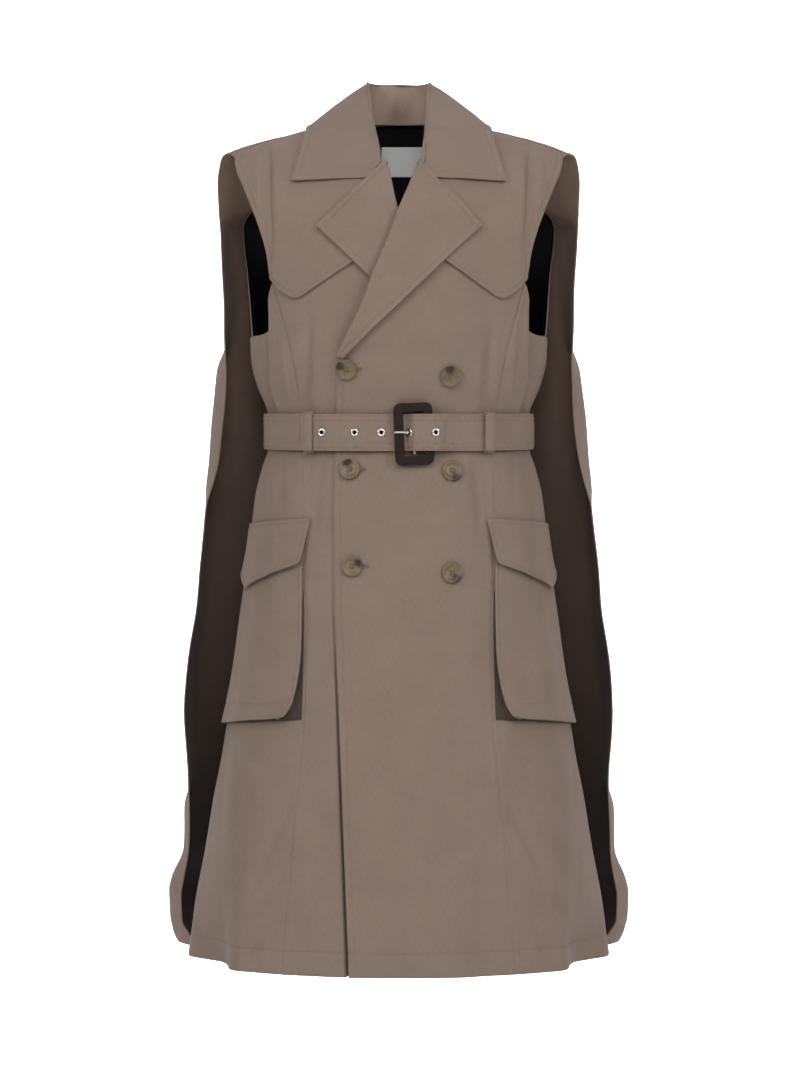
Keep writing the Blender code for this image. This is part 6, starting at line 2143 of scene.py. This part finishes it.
def buckle_place(side, rise):
    """Return a point of the buckle's middle plane: sideways and upward distances from its centre."""
    share = 0.5 + side / (BUCKLE_WIDE - BUCKLE_BAR)
    lift = mix(BUCKLE_LEFT_LIFT, BUCKLE_RIGHT_LIFT, share)
    turned_x = side * math.cos(BUCKLE_TURN) - rise * math.sin(BUCKLE_TURN)
    turned_z = rise * math.cos(BUCKLE_TURN) + side * math.sin(BUCKLE_TURN)
    return Vector((BUCKLE_X + turned_x, -BELT_FRONT - lift, BUCKLE_HEIGHT + turned_z))


def place_on(origin, along, upward):
    """Return the matrix that sets a piece with its X along one direction and its Z out of the face."""
    out = along.cross(upward)
    turn = Matrix((along, upward, out)).transposed().to_4x4()
    return Matrix.Translation(origin) @ turn


class VEST_OT_buckle(bpy.types.Operator):
    """Make the leather-covered buckle frame and give its metal a bright finish"""

    bl_idname = "vest.buckle"
    bl_label = "Buckle"

    def execute(self, context):
        bpy.ops.object.select_all(action="DESELECT")
        bpy.ops.mesh.primitive_plane_add(size=1.0)
        piece = bpy.context.object
        piece.name = "buckle_frame_leather"
        bpy.ops.object.mode_set(mode="EDIT")
        bpy.ops.mesh.select_all(action="SELECT")
        bpy.ops.transform.resize(value=(BUCKLE_WIDE, BUCKLE_TALL, 1.0))
        bpy.ops.mesh.inset(thickness=BUCKLE_BAR, use_boundary=True)
        bpy.ops.mesh.delete(type="FACE")
        bpy.ops.mesh.select_all(action="SELECT")
        bpy.ops.mesh.subdivide(number_cuts=13)
        bpy.ops.mesh.extrude_region_move(TRANSFORM_OT_translate={"value": (0.0, 0.0, BUCKLE_THICK)})
        bpy.ops.object.mode_set(mode="OBJECT")
        self.round_corners(piece)
        piece.data.transform(Matrix.Translation((0, 0, -BUCKLE_THICK / 2)))
        rim = piece.modifiers.new("rim", "BEVEL")
        rim.width = BUCKLE_RIM
        rim.segments = 6
        rim.limit_method = "ANGLE"
        rim.angle_limit = math.radians(50)
        bpy.ops.object.modifier_apply(modifier=rim.name)
        bpy.ops.object.shade_smooth_by_angle(angle=math.radians(60))
        side = (buckle_place(BUCKLE_NEARBY, 0) - buckle_place(0, 0)).normalized()
        rise = (buckle_place(0, BUCKLE_NEARBY) - buckle_place(0, 0)).normalized()
        piece.data.transform(place_on(buckle_place(0, 0), side, rise))
        piece.data.materials.append(calf_leather())
        declare(piece, "buckle_frame")
        for name in ("buckle_bar", "buckle_prong"):
            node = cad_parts[name]
            node.data.materials.clear()
            node.data.materials.append(bright_nickel())
        return {"FINISHED"}

    def round_corners(self, piece):
        """Draw the square corners of the flat frame in onto arcs."""
        start_x = BUCKLE_WIDE / 2 - BUCKLE_CORNER
        start_y = BUCKLE_TALL / 2 - BUCKLE_CORNER
        for vertex in piece.data.vertices:
            from_x = abs(vertex.co.x) - start_x
            from_y = abs(vertex.co.y) - start_y
            if from_x > 0 and from_y > 0:
                shrink = max(from_x, from_y) / math.hypot(from_x, from_y)
                vertex.co.x = math.copysign(start_x + from_x * shrink, vertex.co.x)
                vertex.co.y = math.copysign(start_y + from_y * shrink, vertex.co.y)


class VEST_OT_eyelets(bpy.types.Operator):
    """Set the eyelets in the strap"""

    bl_idname = "vest.eyelets"
    bl_label = "Eyelets"

    def execute(self, context):
        for number, x in enumerate(EYELETS_X, 1):
            bpy.ops.object.select_all(action="DESELECT")
            bpy.ops.mesh.primitive_torus_add(
                major_radius=EYELET_RING * EYELET_SLIM, minor_radius=EYELET_WIRE * EYELET_STOUT,
                major_segments=40, minor_segments=14)
            piece = bpy.context.object
            piece.name = "eyelet_ring_%d" % number
            bpy.ops.object.mode_set(mode="EDIT")
            bpy.ops.mesh.select_all(action="SELECT")
            bpy.ops.transform.resize(value=(1.0, 1.0, EYELET_FLAT), center_override=(0, 0, 0))
            bpy.ops.mesh.select_all(action="DESELECT")
            bpy.ops.mesh.primitive_cylinder_add(
                vertices=28, radius=EYELET_RING - EYELET_FLOOR_IN, depth=EYELET_FLOOR,
                location=(0, 0, -EYELET_FLOOR / 2), end_fill_type="TRIFAN")
            bpy.ops.object.mode_set(mode="OBJECT")
            # The floor and the inner side of each ring take the black lining as painted shade in the hole
            painted_shade_within = EYELET_RING - EYELET_WIRE * EYELET_PAINTED_SHADE
            for face in piece.data.polygons:
                face.material_index = int(math.hypot(face.center.x, face.center.y) < painted_shade_within)
            piece.data.materials.append(bright_nickel())
            piece.data.materials.append(lining_cloth())
            bpy.ops.object.shade_smooth_by_angle(angle=math.radians(50))
            reach = np.array([x - EYELET_NEARBY, x, x + EYELET_NEARBY])
            lift = strap_lift(reach) + EYELET_WIRE * EYELET_SEAT
            behind, seat, ahead = belt_oval(belt_turn(reach), lift)
            along = Vector(ahead - behind)
            along.z = 0
            piece.data.transform(place_on(Vector(seat), along.normalized(), Vector((0, 0, 1))))
            declare(piece, "eyelet_%d" % number)
        return {"FINISHED"}


class VEST_OT_buttons(bpy.types.Operator):
    """Turn the four-hole buttons, sew them on and work the buttonholes beside them"""

    bl_idname = "vest.buttons"
    bl_label = "Buttons"

    def execute(self, context):
        model = self.turned_button()
        for button in BUTTONS:
            piece = model.copy()
            piece.data = model.data.copy()
            piece.name = "horn_" + button.name
            context.scene.collection.objects.link(piece)
            seat, along, upward = self.seat(button)
            self.paint_spot(piece, button.spot)
            piece.data.transform(place_on(seat, along, upward))
            piece.data.materials.append(polished_horn())
            declare(piece, button.name)
            self.sew(button, place_on(seat, along, upward))
        bpy.data.objects.remove(model, do_unlink=True)
        return {"FINISHED"}

    def seat(self, button):
        """Return where a button sits on the left front, and its directions."""
        x = np.array([button.x])
        z = np.array([button.height])
        out = Vector(outward(front, x, z)[0])
        place = Vector(raised(front, x, z, left_lift(x, z) + BUTTON_SEAT)[0])
        along = Vector((1, 0, 0))
        along = (along - out * along.dot(out)).normalized()
        return place, along, out.cross(along)

    def turned_button(self):
        """Return a button at the origin: a disc, its face sunk inside a rim, pierced by four holes."""
        radius = sizes().button
        thick = sizes().button_thick
        bpy.ops.object.select_all(action="DESELECT")
        bpy.ops.mesh.primitive_cylinder_add(
            vertices=64, radius=radius, depth=thick, location=(0, 0, thick / 2))
        bpy.ops.object.transform_apply(location=True)
        model = bpy.context.object
        bpy.ops.object.mode_set(mode="EDIT")
        bpy.ops.mesh.select_mode(type="FACE")
        bpy.ops.mesh.select_all(action="DESELECT")
        bpy.ops.object.mode_set(mode="OBJECT")
        for face in model.data.polygons:
            face.select = face.normal.z > 0.9
        bpy.ops.object.mode_set(mode="EDIT")
        bpy.ops.mesh.inset(thickness=radius * BUTTON_RIM)
        bpy.ops.mesh.inset(thickness=radius * BUTTON_SLOPE)
        bpy.ops.transform.translate(value=(0, 0, -thick * BUTTON_SUNK))
        bpy.ops.mesh.inset(thickness=radius * BUTTON_FLAT)
        bpy.ops.object.mode_set(mode="OBJECT")
        edge = model.modifiers.new("edge", "BEVEL")
        edge.width = BUTTON_EDGE
        edge.segments = 4
        edge.limit_method = "ANGLE"
        edge.angle_limit = math.radians(50)
        bpy.ops.object.modifier_apply(modifier=edge.name)
        for turn in range(4):
            angle = math.radians(45 + 90 * turn)
            place = (math.cos(angle) * HOLE_OUT, math.sin(angle) * HOLE_OUT, thick / 2)
            bpy.ops.object.select_all(action="DESELECT")
            bpy.ops.mesh.primitive_cylinder_add(
                vertices=20, radius=HOLE_RADIUS, depth=thick * 2, location=place)
            drill = bpy.context.object
            bpy.context.view_layer.objects.active = model
            hole = model.modifiers.new("hole", "BOOLEAN")
            hole.operation = "DIFFERENCE"
            hole.object = drill
            bpy.ops.object.modifier_apply(modifier=hole.name)
            bpy.data.objects.remove(drill, do_unlink=True)
        model.select_set(True)
        bpy.ops.object.shade_smooth_by_angle(angle=math.radians(40))
        return model

    def paint_spot(self, piece, angle):
        """Mark how near each point of a button lies to its dark spot."""
        radius = sizes().button
        centre = Vector((math.cos(math.radians(angle)), math.sin(math.radians(angle)), 0)) * radius * SPOT_OUT
        spot = piece.data.attributes.new("spot", "FLOAT", "POINT")
        for vertex in piece.data.vertices:
            away = math.hypot(vertex.co.x - centre.x, vertex.co.y - centre.y)
            spot.data[vertex.index].value = SPOT_DEPTH * math.exp(-(away / (radius * SPOT_SPREAD)) ** 2)

    def sew(self, button, matrix):
        """Make the thread through a button's holes, and its buttonhole where it has one."""
        corners, faces = stitch_model(*BUTTON_STITCH)
        frames = []
        level = sizes().button_thick * THREAD_LEVEL + THREAD_LIFT
        for rise in (-THREAD_RISE, THREAD_RISE):
            for shift in (-THREAD_SHIFT, THREAD_SHIFT):
                frames.append(matrix @ Matrix.Translation((0, rise + shift, level)))
        name = "thread_" + button.name
        frames = np.array([np.array(frame_matrix)[:3] for frame_matrix in frames])
        piece = joined_copies(name, corners, faces, frames, sewing_thread())
        declare(piece, None)
        if button.buttonhole:
            self.buttonhole(button)

    def buttonhole(self, button):
        """Work a buttonhole beside a button: close stitches round a slit."""
        angle = np.linspace(0, 2 * math.pi, 60)
        along = np.sign(np.cos(angle)) * np.abs(np.cos(angle)) ** BUTTONHOLE_SQUARE
        upward = np.sign(np.sin(angle)) * np.abs(np.sin(angle)) ** BUTTONHOLE_SQUARE
        x = button.x + BUTTONHOLE_SHIFT + BUTTONHOLE_HALF * along
        z = button.height + BUTTONHOLE_TALL * upward
        path = raised(front, x, z, left_lift(x, z) + BUTTONHOLE_LIFT)
        out = outward(front, x, z)
        frames = stitch_frames(path, out, 0.0, 0.0, BUTTONHOLE_PITCH)
        frames = np.stack((frames[..., 1], -frames[..., 0], frames[..., 2], frames[..., 3]), axis=2)
        corners, faces = stitch_model(*BUTTONHOLE_STITCH)
        name = "buttonhole_" + button.name
        piece = joined_copies(name, corners, faces, frames, sewing_thread())
        declare(piece, None)


class VEST_OT_stitching(bpy.types.Operator):
    """Sew the rows of topstitching"""

    bl_idname = "vest.stitching"
    bl_label = "Topstitching"

    def execute(self, context):
        pitch = sizes().stitch
        corners, faces = stitch_model(pitch * STITCH_SHARE, sizes().thread)
        for name, rows in TOPSTITCH.items():
            frames = np.concatenate([stitched_row(row, pitch) for row in rows])
            piece = joined_copies(name, corners, faces, frames, sewing_thread())
            declare(piece, None)
        return {"FINISHED"}


class VEST_OT_stage(bpy.types.Operator):
    """Set the paper floor, the soft lights and the camera"""

    bl_idname = "vest.stage"
    bl_label = "Stage"

    def execute(self, context):
        self.backdrop()
        for lamp in LAMPS:
            data = bpy.data.lights.new(lamp.name, "AREA")
            data.shape = "DISK"
            data.size = lamp.size
            data.energy = lamp.power
            light = bpy.data.objects.new(lamp.name, data)
            light.location = lamp.place
            light.rotation_euler = (Vector(lamp.aim) - Vector(lamp.place)).to_track_quat("-Z", "Y").to_euler()
            context.scene.collection.objects.link(light)
        world = bpy.data.worlds.new("studio")
        world.use_nodes = True
        world.node_tree.nodes["Background"].inputs["Color"].default_value = (1.0, 1.0, 1.0, 1.0)
        world.node_tree.nodes["Background"].inputs["Strength"].default_value = WORLD_STRENGTH
        context.scene.world = world
        context.scene.view_settings.view_transform = "Standard"
        camera = bpy.data.cameras.new("camera")
        camera.sensor_width = 36.0
        camera.lens = 36.0 * FOCAL_PIXELS / FRAME_LONG_SIDE
        view = bpy.data.objects.new("camera", camera)
        view.location = CAMERA_PLACE
        view.rotation_euler = (math.radians(90), 0, 0)
        context.scene.collection.objects.link(view)
        context.scene.camera = view
        return {"FINISHED"}

    def backdrop(self):
        """Make the floor and backdrop as one sheet that bends up behind the garment."""
        angle = np.linspace(0.0, math.pi / 2, 17)
        bend_y = BACKDROP_Y + BACKDROP_BEND * np.sin(angle)
        bend_z = FLOOR_HEIGHT + BACKDROP_BEND * (1 - np.cos(angle))
        y = np.concatenate(([BACKDROP_NEAR], bend_y, [bend_y[-1]]))
        z = np.concatenate(([FLOOR_HEIGHT], bend_z, [BACKDROP_TOP]))
        bpy.ops.object.select_all(action="DESELECT")
        bpy.ops.mesh.primitive_grid_add(x_subdivisions=2, y_subdivisions=len(y) - 1, size=1.0)
        sheet = bpy.context.object
        sheet.name = "backdrop"
        for vertex in sheet.data.vertices:
            row = round((vertex.co.y + 0.5) * (len(y) - 1))
            vertex.co = (vertex.co.x * 2 * BACKDROP_HALF, y[row], z[row])
        sheet.data.shade_smooth()
        sheet.data.materials.append(backdrop_paper())


OPERATORS = (
    VEST_OT_stage, VEST_OT_body, VEST_OT_lining, VEST_OT_cape, VEST_OT_storm_flaps, VEST_OT_lapels,
    VEST_OT_collar, VEST_OT_belt, VEST_OT_pockets, VEST_OT_buckle, VEST_OT_eyelets, VEST_OT_buttons,
    VEST_OT_stitching,
)


class VEST_PT_sidebar(bpy.types.Panel):
    """Lists the steps that dress the vest"""

    bl_label = "Trench vest"
    bl_idname = "VEST_PT_sidebar"
    bl_space_type = "VIEW_3D"
    bl_region_type = "UI"
    bl_category = "Trench vest"

    def draw(self, context):
        for operator in OPERATORS:
            self.layout.operator(operator.bl_idname)
        for group in (context.scene.vest_sizes, context.scene.vest_colours):
            for name in group.__annotations__:
                self.layout.prop(group, name)


CLASSES = (VestSizes, VestColours) + OPERATORS + (VEST_PT_sidebar,)


def register():
    """Register the classes and the properties."""
    for item in CLASSES:
        bpy.utils.register_class(item)
    bpy.types.Scene.vest_sizes = bpy.props.PointerProperty(type=VestSizes)
    bpy.types.Scene.vest_colours = bpy.props.PointerProperty(type=VestColours)


def unregister():
    """Remove the properties and the classes."""
    del bpy.types.Scene.vest_colours
    del bpy.types.Scene.vest_sizes
    for item in reversed(CLASSES):
        bpy.utils.unregister_class(item)


def main():
    """Dress the vest."""
    register()
    bpy.ops.vest.stage()
    bpy.ops.vest.body()
    bpy.ops.vest.lining()
    bpy.ops.vest.cape()
    bpy.ops.vest.storm_flaps()
    bpy.ops.vest.lapels()
    bpy.ops.vest.collar()
    bpy.ops.vest.belt()
    bpy.ops.vest.pockets()
    bpy.ops.vest.buckle()
    bpy.ops.vest.eyelets()
    bpy.ops.vest.buttons()
    bpy.ops.vest.stitching()


if __name__ == "__main__":
    main()
